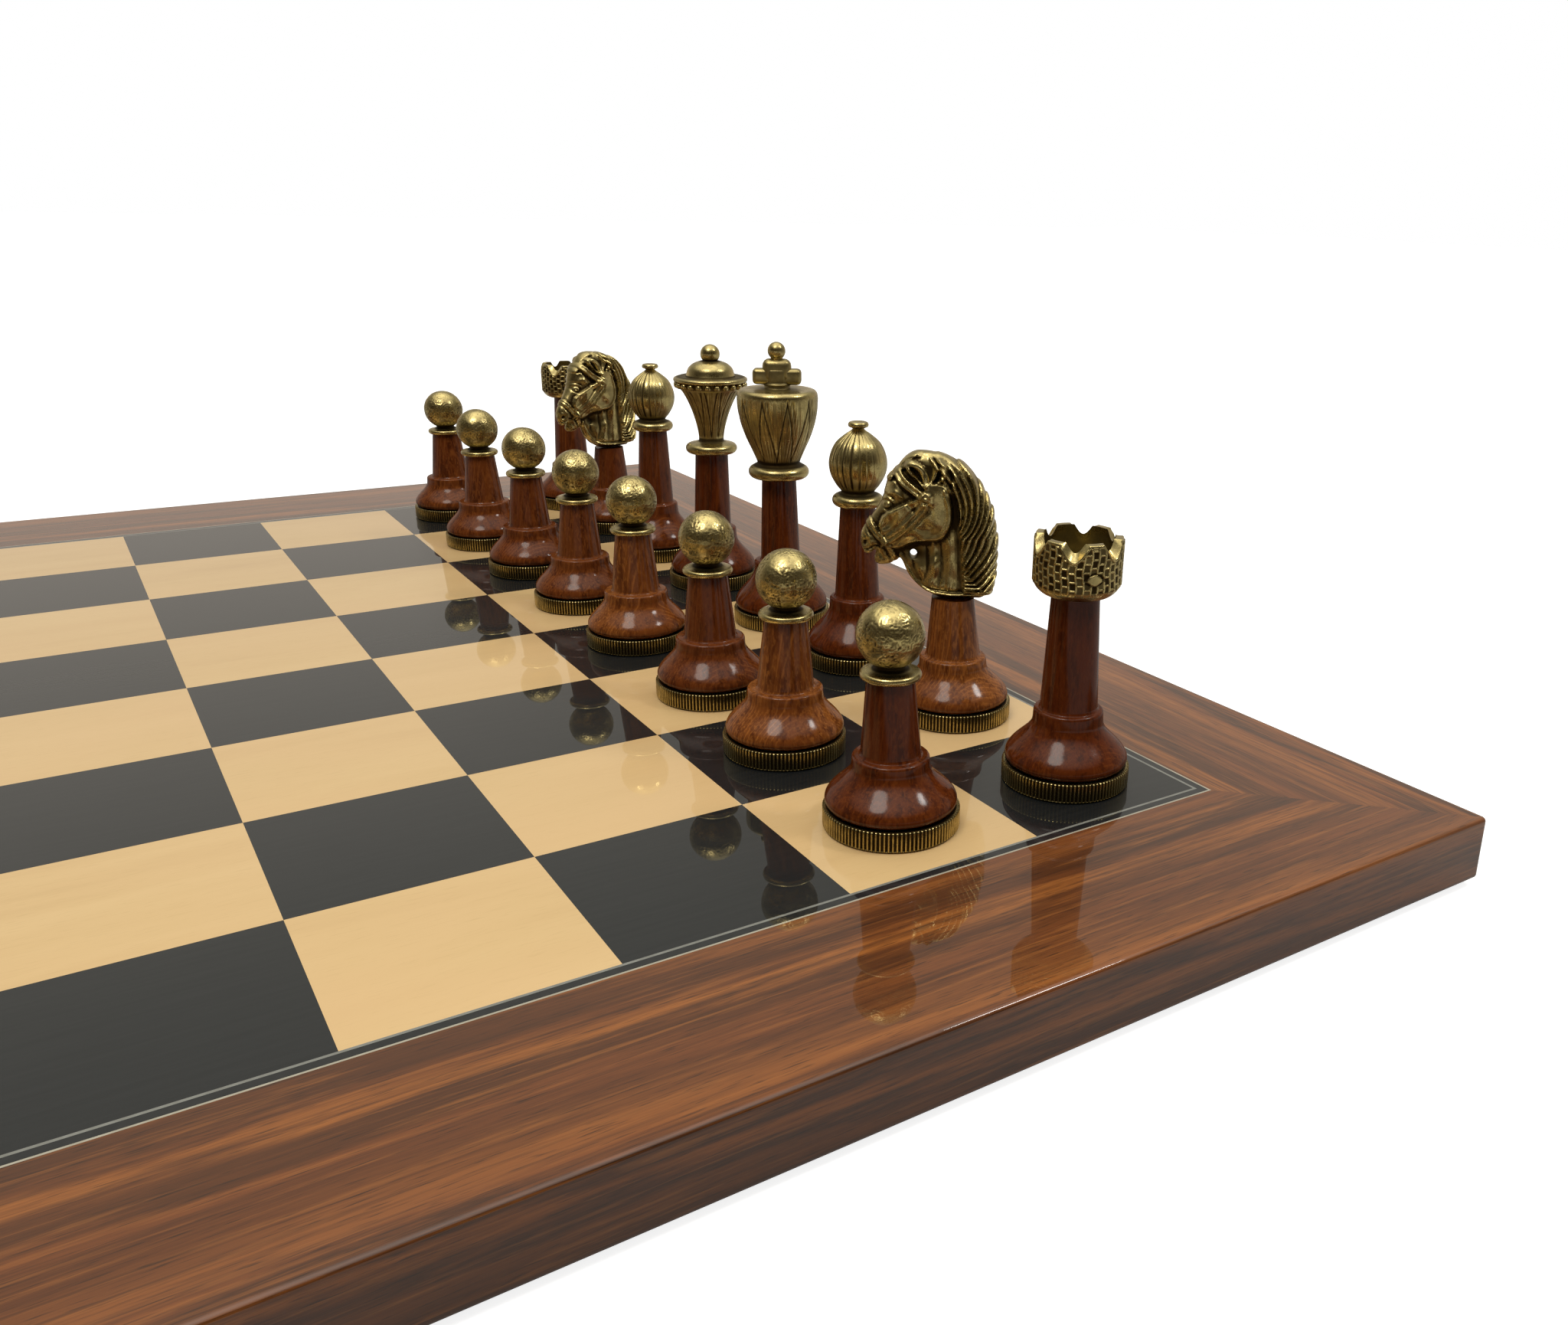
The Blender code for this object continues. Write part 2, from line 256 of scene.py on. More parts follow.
def noise_at(points, scale, seed):
    """Perlin noise from about -1 to 1 at each point, with features about 1/scale across."""
    shift = Vector((seed * 17.3, seed * 5.1, seed * 9.7))
    return np.array([noise.noise(Vector(point) * scale + shift) for point in points.reshape(-1, 3)])


# The wooden body and the ribbed ring, which every man has


STEMS = {
    # shoulder radius, height of its foot and top, radius of the stem's foot and top, height of the head
    "pawn": (9.9, 15.4, 17.4, 7.4, 5.5, 36.0),
    "rook": (8.8, 16.4, 19.2, 7.2, 5.9, 48.5),
    "knight": (9.4, 15.4, 17.6, 7.5, 5.8, 34.4),
    "bishop": (8.5, 18.2, 21.0, 6.8, 5.3, 49.4),
    "queen": (8.6, 18.2, 21.0, 6.6, 5.8, 48.4),
    "king": (8.8, 18.4, 21.2, 6.5, 5.6, 49.2),
}
HEAD_FOOT = {kind: stem[-1] for kind, stem in STEMS.items()}


def wood_outline(kind, slimmer=0.0):
    """The wooden body's outline; slimmer takes that much off its shoulder."""
    shoulder, band_foot, band_top, stem_foot, stem_top, head = STEMS[kind]
    shoulder -= slimmer
    stem_foot -= slimmer / 2
    foot = arc((BELL_RADIUS - BELL_FOOT_ROUND, BELL_WIDEST), BELL_FOOT_ROUND, -80, 0, 6)
    rise = np.linspace(0, 1, 18)[1:]
    bell_radius = shoulder + (BELL_RADIUS - shoulder) * (0.5 + 0.5 * np.cos(math.pi * rise**0.95))
    bell = np.column_stack([bell_radius, BELL_WIDEST + (band_foot - BELL_WIDEST) * rise])
    top = rounded(
        [
            (shoulder, band_foot, 0),
            (shoulder - 0.15, band_top, 0.7),
            (stem_foot + 0.35, band_top + 0.15, 0.15),
            (stem_foot, band_top + 0.7, 0.3),
            (stem_top, head, 0),
        ]
    )[1:]
    stem_rows = np.linspace(top[-2], top[-1], 8)[1:]
    return np.vstack([foot, bell, top[:-1], stem_rows])


def ring_relief(angle, radius, height):
    """Upright ribs with dark valleys between them, which scallop the ring's edges."""
    wave = 0.5 + 0.5 * np.cos(RING_RIBS * angle)
    outside = smooth_step(radius, 15.45, 15.8)
    valley = smooth_step(1 - wave, 0.36, 0.8) * outside
    fade = smooth_step(height, 0.3, 0.6)
    # Painted shade: the ring's inner part, under the bell's overhang, is darkened as if in shade
    shade_under_bell = 1 - smooth_step(radius, 14.7, 15.2)
    return -0.42 * valley * fade, -0.12 * valley * fade, 0.95 * valley * fade + shade_under_bell


def ring_shape():
    outline = rounded(
        [
            (13.2, 0.3, 0),
            (15.9, 0.3, 0.2),
            (RING_RADIUS, 0.6, 0.15),
            (RING_RADIUS, 2.6, 0),
            (RING_RADIUS, 4.75, 0.15),
            (15.75, RING_HEIGHT, 0.15),
            (15.1, RING_HEIGHT, 0.15),
            (14.7, 4.6, 0.15),
            (13.2, 4.5, 0),
        ],
        steps=2,
    )
    return spun(outline, RING_RIBS * RIB_COLUMNS, ring_relief, closed=True)


def felt_shape():
    foot = [(0.5, 0.0, 0), (PAD_RADIUS - 0.2, 0.0, 0.15)]
    outline = rounded(foot + [(PAD_RADIUS, PAD_HEIGHT, 0.1), (0.5, PAD_HEIGHT, 0)], 2)
    return spun(outline, 48)


# Cast heads


def collar(radius, low, high, foot_radius, neck):
    """A rounded disc: up from the stem, round the rim and in to the neck at (radius, height)."""
    middle = (low + high) / 2
    half = (high - low) / 2
    rim = arc((radius - half, middle), half, -85, 70, 10)
    return np.vstack([[(foot_radius, low - 0.05)], rim, flowing([rim[-1], neck], 3)[1:]])


PAWN_BALL = (46.1, 7.8)


def pawn_head():
    centre, radius = PAWN_BALL
    disc = collar(7.05, HEAD_FOOT["pawn"], 37.9, 5.4, (4.6, 38.1))
    neck = flowing([(4.6, 38.1), (3.7, 38.6), (3.55, 39.2)], 3)[1:]
    ball = arc((0.0, centre), radius, -62, 89, 92)
    points, faces, patina_and_shade = turned(np.vstack([disc, neck, ball]), HEAD_COLUMNS["pawn"])
    return hammered(points, faces, patina_and_shade, centre, radius)


def hammered(points, faces, patina_and_shade, centre, radius):
    """Dents and fine worm-like chasing over the ball, with a faint upright casting seam."""
    from_centre = points - [0.0, 0.0, centre]
    reach = np.linalg.norm(from_centre, axis=1)
    on_ball = smooth_step(points[:, 2], 39.4, 40.4)
    dents = noise_at(points, 0.35, 1)
    worms = 1 - smooth_step(np.abs(noise_at(points, 1.15, 2)), 0.02, 0.17)
    worms *= smooth_step(noise_at(points, 0.2, 3), -0.4, 0.15)
    pits = smooth_step(noise_at(points, 1.4, 4), 0.15, 0.4)
    angle = np.arctan2(points[:, 1], points[:, 0])
    seam = np.exp(-((np.abs(np.sin(angle)) * reach / 0.22) ** 2)) * (points[:, 2] < centre - 2)
    shift = (0.06 * dents - 0.11 * worms - 0.05 * pits - 0.08 * seam) * on_ball
    points = points + from_centre / np.maximum(reach, 0.1)[:, None] * shift[:, None]
    # Painted shade: below darkens the ball towards its underside, and dark adds it to the chasing's patina
    below = 0.3 * smooth_step(-from_centre[:, 2] / radius, 0.0, 0.9)
    dark = on_ball * (0.62 * worms + 0.3 * pits + below + 0.4 * seam)
    groove = within(points[:, 2], 37.9, 38.4, 39.2, 40.4)
    return Shape().add(points, faces, np.maximum(patina_and_shade, dark + 0.9 * groove))


ROOK_RIM = 63.5
ROOK_FLOOR = 55.0
ROOK_RADIUS = 10.5
ROOK_WALL = 1.9
ROOK_NOTCHES = 6
NOTCH_TURN = math.radians(43.5)
NOTCH_HALF_WIDTHS = (0.25, 0.345)  # inside and outside, as a share of the turn from notch to notch
NOTCH_DEPTHS = (2.3, 4.1)
ROOK_WALL_FOOT = 52.0
BRICK_COLUMNS = 38
BRICK_HEIGHT = 2.1
BOSS_TURN = math.radians(72.0)
BOSS_HEIGHT = 55.2


def notch_drop(angle, radius):
    """How far the rim drops: rounded scoops that are deeper and wider towards the outside."""
    turn = ((angle - NOTCH_TURN) * ROOK_NOTCHES / TURN + 0.5) % 1.0 - 0.5
    outward = np.clip((radius - (ROOK_RADIUS - ROOK_WALL)) / ROOK_WALL, 0.0, 1.0)
    half_width = NOTCH_HALF_WIDTHS[0] + (NOTCH_HALF_WIDTHS[1] - NOTCH_HALF_WIDTHS[0]) * outward
    depth = NOTCH_DEPTHS[0] + (NOTCH_DEPTHS[1] - NOTCH_DEPTHS[0]) * outward
    return depth * (0.5 + 0.5 * np.cos(math.pi * np.clip(np.abs(turn) / half_width, 0.0, 1.0))) ** 0.55


def rook_relief(angle, radius, height):
    """Raised mortar lines round dark bricks, a lip round each notch, and a lens-shaped boss on two sides."""
    drop = notch_drop(angle, radius)
    share = np.clip((height - ROOK_WALL_FOOT) / (ROOK_RIM - ROOK_WALL_FOOT), 0.0, 1.0)
    up = -drop * share**2
    place = height + up
    below = ROOK_RIM - drop - place
    outside = smooth_step(radius, ROOK_RADIUS - 0.5, ROOK_RADIUS - 0.15) * smooth_step(height, 51.2, 51.9)
    lip = (1 - smooth_step(below, 0.35, 0.8)) * smooth_step(drop, 0.4, 1.4)
    wall = outside * smooth_step(below, 0.5, 0.9)
    column = angle * BRICK_COLUMNS / TURN + 0.12 * np.sin(place * 0.8)
    course = np.floor(column)
    stagger = course % 2 * 0.5 + 0.13 * np.sin(7 * course)
    across = np.abs((column + 0.5) % 1.0 - 0.5)
    along = place / BRICK_HEIGHT + stagger
    tone = 0.78 + 0.12 * np.sin(course * 2.3 + np.floor(along) * 1.7)
    along = np.abs(along - np.round(along))
    joint = np.maximum(1 - smooth_step(across, 0.08, 0.17), 1 - smooth_step(along, 0.06, 0.14))
    boss_turn = (angle - BOSS_TURN + math.pi / 2) % math.pi - math.pi / 2
    lens = np.abs(boss_turn * ROOK_RADIUS / 2.0) ** 1.2 + np.abs((place - BOSS_HEIGHT) / 1.45) ** 1.8
    boss = 1 - smooth_step(lens, 0.8, 1.0)
    trench = within(lens, 0.9, 1.1, 1.25, 1.5)
    bricks = (1 - joint) * (1 - boss)
    out = wall * (0.32 * joint * (1 - boss) + 0.42 * boss - 0.2 * trench) + 0.35 * lip * outside
    # Painted shade: the inside of the cup darkens with depth below the rim, as if in shade
    inside = 1 - smooth_step(radius, ROOK_RADIUS - ROOK_WALL - 0.1, ROOK_RADIUS - ROOK_WALL + 0.3)
    patina_and_shade = wall * (tone * bricks + 0.7 * trench + 0.15 * boss) + 0.5 * inside * smooth_step(below, 0.8, 3.0)
    return out, up, patina_and_shade


def rook_head():
    inner = ROOK_RADIUS - ROOK_WALL
    under = [(5.6, HEAD_FOOT["rook"], 0), (8.7, 49.3, 0.8), (10.35, 50.9, 1.0)]
    lower = rounded(under + [(ROOK_RADIUS, ROOK_WALL_FOOT, 0)])
    wall = np.linspace((ROOK_RADIUS, ROOK_WALL_FOOT), (ROOK_RADIUS, ROOK_RIM - 0.4), 76)
    rim = rounded(
        [(ROOK_RADIUS, ROOK_RIM - 0.4, 0), (ROOK_RADIUS - 0.1, ROOK_RIM, 0.3), (inner, ROOK_RIM, 0.3)]
    )
    down = np.linspace((inner, ROOK_RIM - 0.4), (inner, ROOK_FLOOR + 1.0), 24)
    floor = rounded([(inner, ROOK_FLOOR + 1.0, 0), (inner - 0.4, ROOK_FLOOR, 0.8), (0.4, ROOK_FLOOR, 0)])
    outline = np.vstack([lower, wall[1:], rim[1:], down, floor[1:]])
    return spun(outline, HEAD_COLUMNS["rook"], rook_relief)


ONION_FLUTES = 24


def bishop_relief(angle, radius, height):
    """Hand-cut flutes of uneven width that run between the onion's foot and its tip."""
    on_onion = within(height, 54.6, 56.0, 71.8, 73.0)
    wander = 0.5 * np.sin(3 * angle + 0.4) + 0.3 * np.sin(5 * angle + height * 0.09) + 0.02 * (height - 62)
    wave = np.abs(np.sin(ONION_FLUTES / 2 * angle + wander))
    depth = 0.55 + 0.45 * np.sin(2 * angle + 0.8)
    valley = (1 - smooth_step(wave, 0.05, 0.5)) * on_onion * depth
    second = (1 - smooth_step(np.abs(np.sin(19 * angle + 2 * wander)), 0.0, 0.3)) * on_onion * depth
    neck = within(height, 52.6, 53.2, 54.2, 55.6)
    # Painted shade: the onion's lower part, under its bulge, is darkened as if in shade
    low = on_onion * (1 - smooth_step(height, 56.0, 60.0))
    return -0.42 * valley - 0.16 * second, np.zeros_like(wave), valley + 0.4 * second + 0.8 * neck + 0.5 * low


def bishop_head():
    disc = collar(7.75, HEAD_FOOT["bishop"], 53.0, 5.2, (5.3, 53.3))
    onion = flowing(
        [(5.3, 53.3), (5.05, 54.0), (6.6, 56.0), (8.2, 59.0), (8.75, 62.2), (8.2, 65.4), (6.7, 68.4)]
        + [(4.3, 70.6), (2.3, 72.0), (1.65, 72.6)],
        7,
    )
    finial = flowing([(1.65, 72.6), (2.2, 72.95), (2.9, 73.25), (3.05, 73.9), (2.75, 74.5)], 4)
    top = flowing([(2.75, 74.5), (2.2, 74.65), (1.4, 74.45), (0.4, 74.4)], 3)
    outline = np.vstack([disc[:-1], onion, finial[1:], top[1:]])
    return spun(outline, HEAD_COLUMNS["bishop"], bishop_relief)


def leaf_lines(angle, share, leaves, lean, width):
    """How deep long engraved leaves are cut: pairs of lines that lean together, with veins between."""
    turns = angle * leaves / TURN
    depth = np.zeros(np.broadcast(angle, share).shape)
    for side in (-1, 1):
        line = np.abs((turns + side * lean * share + 0.5) % 1.0 - 0.5)
        depth = np.maximum(depth, 1 - smooth_step(line, 0.0, width))
    for vein in (0.18, 0.34, 0.5, 0.66, 0.82):
        line = np.abs((turns + lean * share * (vein - 0.5) + vein + 0.5) % 1.0 - 0.5)
        depth = np.maximum(depth, 0.45 * (1 - smooth_step(line, 0.0, width * 0.8)))
    return depth


QUEEN_BEADS = 24
BEAD_RADIUS = 1.15
QUEEN_RIM = 13.0
BEAD_HEIGHT = 72.8


def queen_relief(angle, radius, height):
    share = (height - 53.0) / (BEAD_HEIGHT - 53.0)
    on_cup = within(height, 54.0, 55.0, 70.9, 71.6)
    cut = leaf_lines(angle, share, 11, 0.42, 0.07) * on_cup
    scratch = 0.3 * np.abs(np.sin(37 * angle + 3 * share)) * on_cup
    bead_band = within(height, 71.5, 71.9, 73.8, 74.1)
    seat = within(height, 75.2, 75.6, 75.9, 76.3)
    neck = within(height, 52.2, 52.8, 53.6, 54.4)
    top_neck = within(height, 80.6, 81.0, 81.4, 82.0)
    patina_and_shade = cut + scratch + bead_band * 0.6 + seat * 0.8 + neck * 0.8 + top_neck * 0.8
    return -0.28 * cut, np.zeros_like(angle + height), patina_and_shade


def queen_head():
    disc = collar(9.15, HEAD_FOOT["queen"], 51.9, 5.6, (4.6, 52.6))
    cup = flowing(
        [(4.6, 52.6), (4.4, 53.6), (4.65, 56.0), (5.3, 59.0), (6.5, 63.0), (8.05, 66.8), (9.65, 69.8)]
        + [(10.9, 71.4)],
        7,
    )
    rim = rounded(
        [
            (10.9, 71.4, 0),
            (11.3, 71.7, 0.3),
            (11.4, 73.8, 0.3),
            (QUEEN_RIM, 74.0, 0.4),
            (QUEEN_RIM, 75.1, 0.5),
            (11.2, 75.7, 0.4),
            (8.8, 75.5, 0.3),
            (8.65, 76.0, 0.2),
            (8.5, 76.4, 0),
        ]
    )
    dome = flowing([(8.5, 76.4), (7.7, 78.5), (5.9, 80.1), (3.4, 81.0), (2.1, 81.2), (2.0, 81.5)], 6)
    ball = arc((0.0, 83.35), 3.4, -35, 88, 22)
    outline = np.vstack([disc[:-1], cup, rim[1:], dome[1:], ball])
    shape = spun(outline, HEAD_COLUMNS["queen"], queen_relief)
    bead_points, bead_faces, _ = turned(arc((0.0, 0.0), BEAD_RADIUS, -85, 85, 9), 14)
    # Painted shade: each bead's lower half is darker
    bead_underside_shade = 0.35 * (bead_points[:, 2] < -0.2)
    ring_radius = QUEEN_RIM - BEAD_RADIUS
    for i in range(QUEEN_BEADS):
        angle = i * TURN / QUEEN_BEADS
        place = [ring_radius * math.cos(angle), ring_radius * math.sin(angle), BEAD_HEIGHT]
        shape.add(bead_points + place, bead_faces, bead_underside_shade)
    return shape


KING_CROSS = 82.0
KING_BLOCKS = [
    # size, rounding, steps of it, height over the cross's middle, and patina
    ((5.2, 15.6, 5.0), 1.3, 3, 0.0, 0.3),
    ((5.8, 9.2, 7.6), 2.2, 4, 1.8, 0.35),
    ((6.2, 6.0, 5.6), 1.2, 3, 0.0, 0.45),
]


def king_relief(angle, radius, height):
    share = (height - 54.6) / (77.0 - 54.6)
    on_cup = within(height, 55.0, 56.0, 74.6, 76.6)
    cut = leaf_lines(angle, share, 10, 0.55, 0.05) * on_cup
    crossing = leaf_lines(angle + 0.2, 1 - share, 10, 0.35, 0.035) * on_cup * smooth_step(height, 62, 70)
    neck = within(height, 52.8, 53.4, 54.8, 56.0)
    top = smooth_step(height, 77.7, 78.0)
    # Painted shade: the top darkens towards the post, under the cross
    shade_round_post = top * (1 - smooth_step(radius, 4.5, 9.0)) * 0.5
    cut = np.maximum(cut, 0.7 * crossing)
    # Painted shade: the cup also darkens towards its foot, under its flare (0.2 * on_cup * (1 - share))
    return -0.32 * cut, np.zeros_like(cut), cut + 0.9 * neck + shade_round_post + 0.2 * on_cup * (1 - share)


def king_head():
    disc = collar(9.9, HEAD_FOOT["king"], 53.2, 5.4, (7.2, 53.9))
    cup = flowing(
        [(7.2, 53.9), (7.0, 54.6), (8.6, 58.4), (10.5, 62.6), (12.0, 67.0), (12.9, 71.6), (13.1, 75.2)], 8
    )
    shoulder = rounded([(13.1, 75.2, 0), (12.9, 77.9, 1.9), (4.25, 78.35, 0.2), (4.1, 79.0, 0)], steps=8)
    post = np.array([(4.1, 79.2), (4.45, 79.35), (4.5, 79.6), (4.1, 79.8), (4.0, 80.4), (0.6, 80.4)])
    outline = np.vstack([disc[:-1], cup, shoulder[1:], post])
    shape = spun(outline, HEAD_COLUMNS["king"], king_relief)
    for size, rounding, steps, rise, patina_and_shade in KING_BLOCKS:
        points, faces = block(size, rounding, steps)
        shape.add(points + [0, 0, KING_CROSS + rise], faces, patina_and_shade)
    tip = np.vstack([[(1.9, 86.6)], arc((0.0, 90.05), 2.85, -48, 88, 16)])
    return shape.add(*turned(tip, 40))


# The knight's head, cast in relief: a silhouette given thickness, then cut with its hair and harness.
# Lengths are forward of the stem's axis, and heights are above the board.


KNIGHT_VOXEL = 0.3
LOCK_SPACING = 1.95
KNIGHT_ROUND = 5.0
KNIGHT_POWER = 2.3


def knight_silhouette():
    back = [(-7.4, 34.6), (-9.9, 35.8), (-10.9, 38.0), (-11.5, 43.0), (-11.8, 49.0), (-11.3, 55.0)]
    crest = [(-10.2, 60.0), (-7.6, 65.6), (-4.4, 69.6), (-0.6, 72.2), (4.2, 74.0), (9.2, 74.6)]
    brow = [(12.2, 73.0), (14.4, 70.4), (17.4, 67.5), (17.6, 66.4), (18.3, 64.0), (19.2, 61.0)]
    nose = [(21.0, 58.0), (23.2, 55.0), (24.7, 52.4), (25.0, 50.0), (24.6, 47.6), (23.6, 46.1)]
    mouth = [(22.0, 46.5), (20.9, 47.4), (21.3, 45.0), (20.9, 43.6), (19.2, 43.1), (16.8, 43.6)]
    throat = [(14.6, 44.9), (13.6, 44.2), (12.4, 41.2), (10.0, 38.3), (7.2, 36.0), (4.4, 34.8), (2.0, 34.5)]
    loop = back + crest + brow + nose + mouth + throat
    return flowing(loop + loop[:1], 5)[:-1]


# Half the head's thickness at places on it: forward, height, half thickness
KNIGHT_WIDTHS = [
    (0.0, 35.0, 6.0),
    (-8.0, 36.0, 5.6),
    (5.0, 37.0, 5.0),
    (-3.0, 44.0, 5.6),
    (4.0, 44.0, 4.6),
    (9.0, 41.0, 3.6),
    (12.2, 43.5, 2.6),
    (10.5, 47.5, 1.5),
    (7.0, 47.5, 3.0),
    (-8.0, 50.0, 4.8),
    (-1.0, 52.0, 5.4),
    (4.5, 57.0, 5.4),
    (8.0, 54.0, 4.8),
    (-6.0, 62.0, 4.8),
    (2.0, 68.0, 5.0),
    (7.0, 64.0, 5.6),
    (8.0, 71.0, 4.4),
    (14.0, 64.0, 5.2),
    (13.0, 57.0, 4.6),
    (17.5, 61.0, 4.3),
    (18.5, 55.0, 3.4),
    (22.5, 52.0, 3.1),
    (22.5, 48.5, 3.3),
    (19.0, 45.0, 2.4),
]


def signed_distance(loop, forward, height):
    """Distance inside a closed outline, negative outside, on a grid."""
    best = np.full(forward.shape, 1e9)
    inside = np.zeros(forward.shape, bool)
    for (ax, az), (bx, bz) in zip(loop, np.roll(loop, -1, axis=0)):
        dx, dz = bx - ax, bz - az
        t = np.clip(((forward - ax) * dx + (height - az) * dz) / (dx * dx + dz * dz), 0, 1)
        best = np.minimum(best, (forward - ax - t * dx) ** 2 + (height - az - t * dz) ** 2)
        if dz != 0:
            crosses = (az > height) != (bz > height)
            inside ^= crosses & (forward < ax + (height - az) / dz * dx)
    return np.where(inside, np.sqrt(best), -np.sqrt(best))


def distance_to_line(points, forward, height):
    """Distance to a smooth line through the points, and how far along it the nearest place is, 0 to 1."""
    line = flowing(points, 5)
    best = np.full(forward.shape, 1e9)
    along = np.zeros(forward.shape)
    lengths = np.linalg.norm(np.diff(line, axis=0), axis=1)
    start = np.concatenate([[0], np.cumsum(lengths)])
    for i, (a, b) in enumerate(zip(line, line[1:])):
        d = b - a
        t = np.clip(((forward - a[0]) * d[0] + (height - a[1]) * d[1]) / (d @ d), 0, 1)
        gap = (forward - a[0] - t * d[0]) ** 2 + (height - a[1] - t * d[1]) ** 2
        nearer = gap < best
        best = np.where(nearer, gap, best)
        along = np.where(nearer, (start[i] + t * lengths[i]) / start[-1], along)
    return np.sqrt(best), along


class Relief:
    """A field of heights over the side of the knight's head, cut and built up with lines and domes."""

    def __init__(self, forward, height):
        self.x, self.z = forward, height
        self.field = np.zeros(forward.shape)

    def strap(self, points, half_width, rise, edge=0.45):
        """A flat raised band with a groove along each side."""
        gap, _ = distance_to_line(points, self.x, self.z)
        band = 1 - smooth_step(gap, half_width - edge, half_width + edge * 0.3)
        border = np.exp(-(((gap - half_width - 0.35) / 0.35) ** 2))
        self.field = self.field * (1 - band) + (np.maximum(self.field, 0) * 0.4 + rise) * band - 0.35 * border

    def ridge(self, points, half_width, rise, taper=True):
        """A rounded raised line that thins towards its ends, or a groove if rise is negative."""
        gap, along = distance_to_line(points, self.x, self.z)
        width = half_width * (np.sqrt(np.sin(math.pi * np.clip(along, 0.02, 0.98))) if taper else 1.0)
        self.field += rise * np.exp(-((gap / width) ** 2))

    def dome(self, forward, height, radius, rise, squash=1.0, lean_deg=0.0):
        lean = math.radians(lean_deg)
        dx, dz = self.x - forward, self.z - height
        a = dx * math.cos(lean) + dz * math.sin(lean)
        b = (-dx * math.sin(lean) + dz * math.cos(lean)) / squash
        self.field += rise * np.exp(-((np.hypot(a, b) / radius) ** 4))

    def patch(self, loop, rise, edge):
        """A plateau inside an outline, with a soft edge."""
        inside = signed_distance(flowing(loop + loop[:1], 5)[:-1], self.x, self.z)
        self.field += rise * smooth_step(inside, -edge / 2, edge / 2)


def locks(relief, depth):
    """The mane: locks that leave the crest at a slant, sweep forward as they fall, and end at the neck."""
    x, z = relief.x, relief.z
    front = [(4.6, 70.5), (2.8, 66.5), (-0.6, 62.5), (-1.6, 56.0), (-2.0, 49.0), (-2.6, 37.0), (-2.6, 30.0)]
    loop = front + [(-20.0, 30.0), (-20.0, 80.0), (4.6, 80.0)]
    behind = signed_distance(np.array(loop), x, z)
    area = smooth_step(behind, -0.3, 0.8) * smooth_step(z, 36.5, 37.2)
    round_crest = np.clip(np.arctan2(z - 52.0, x - 2.0) - math.radians(75.0), 0.0, None) * (z > 52.0)
    round_crest = np.where((z <= 52.0) & (x < 2.0), math.radians(105.0), round_crest)
    fall = np.clip((62.0 - z) / 25.0, 0.0, 1.0)
    wander = 0.5 * np.sin(z * 0.27 + 1.0) + 0.3 * np.sin(x * 0.55 + z * 0.18)
    flow = (depth - 5.5 * round_crest - 11.0 * fall**1.7 + wander) / LOCK_SPACING
    share = flow % 1.0
    lock = (0.5 - 0.5 * np.cos(TURN * share)) ** 0.6
    height = 1.15 + 0.4 * np.sin(2.4 * np.floor(flow))
    fine = 0.1 * np.sin(TURN * (3 * flow + 0.3 * np.sin(z * 0.4)))
    relief.field += area * (height * lock + fine * smooth_step(lock, 0.4, 0.8) + 0.3)
    relief.field -= 0.3 * np.exp(-(((behind + 0.9) / 0.6) ** 2)) * (z < 64) * (z > 37)


ROSETTE = (7.4, 62.7)  # where the straps meet on the cheek
KNIGHT_TUFTS = [
    ([(6.1, 73.2), (4.5, 71.2), (4.8, 68.8), (6.1, 66.9)], 0.75, 1.2),
    ([(3.6, 73.0), (2.2, 70.4), (2.9, 68.0), (4.2, 66.9)], 0.75, 1.2),
    ([(5.3, 73.2), (3.5, 71.0), (3.9, 68.6), (5.2, 66.9)], 0.35, -1.0),
    ([(9.5, 74.0), (12.8, 72.0), (15.4, 69.2), (17.3, 67.3)], 1.0, 0.9),
    ([(12.4, 70.0), (14.4, 68.6), (16.6, 66.6)], 0.4, -1.0),
    ([(8.2, 73.2), (11.5, 72.6), (13.6, 70.9)], 0.35, -0.7),
    ([(7.6, 74.2), (3.4, 73.6), (-0.6, 71.4), (-3.6, 68.8)], 0.6, 0.5),
    ([(1.8, 71.6), (0.2, 68.8), (0.6, 65.8)], 0.6, -1.0),
]
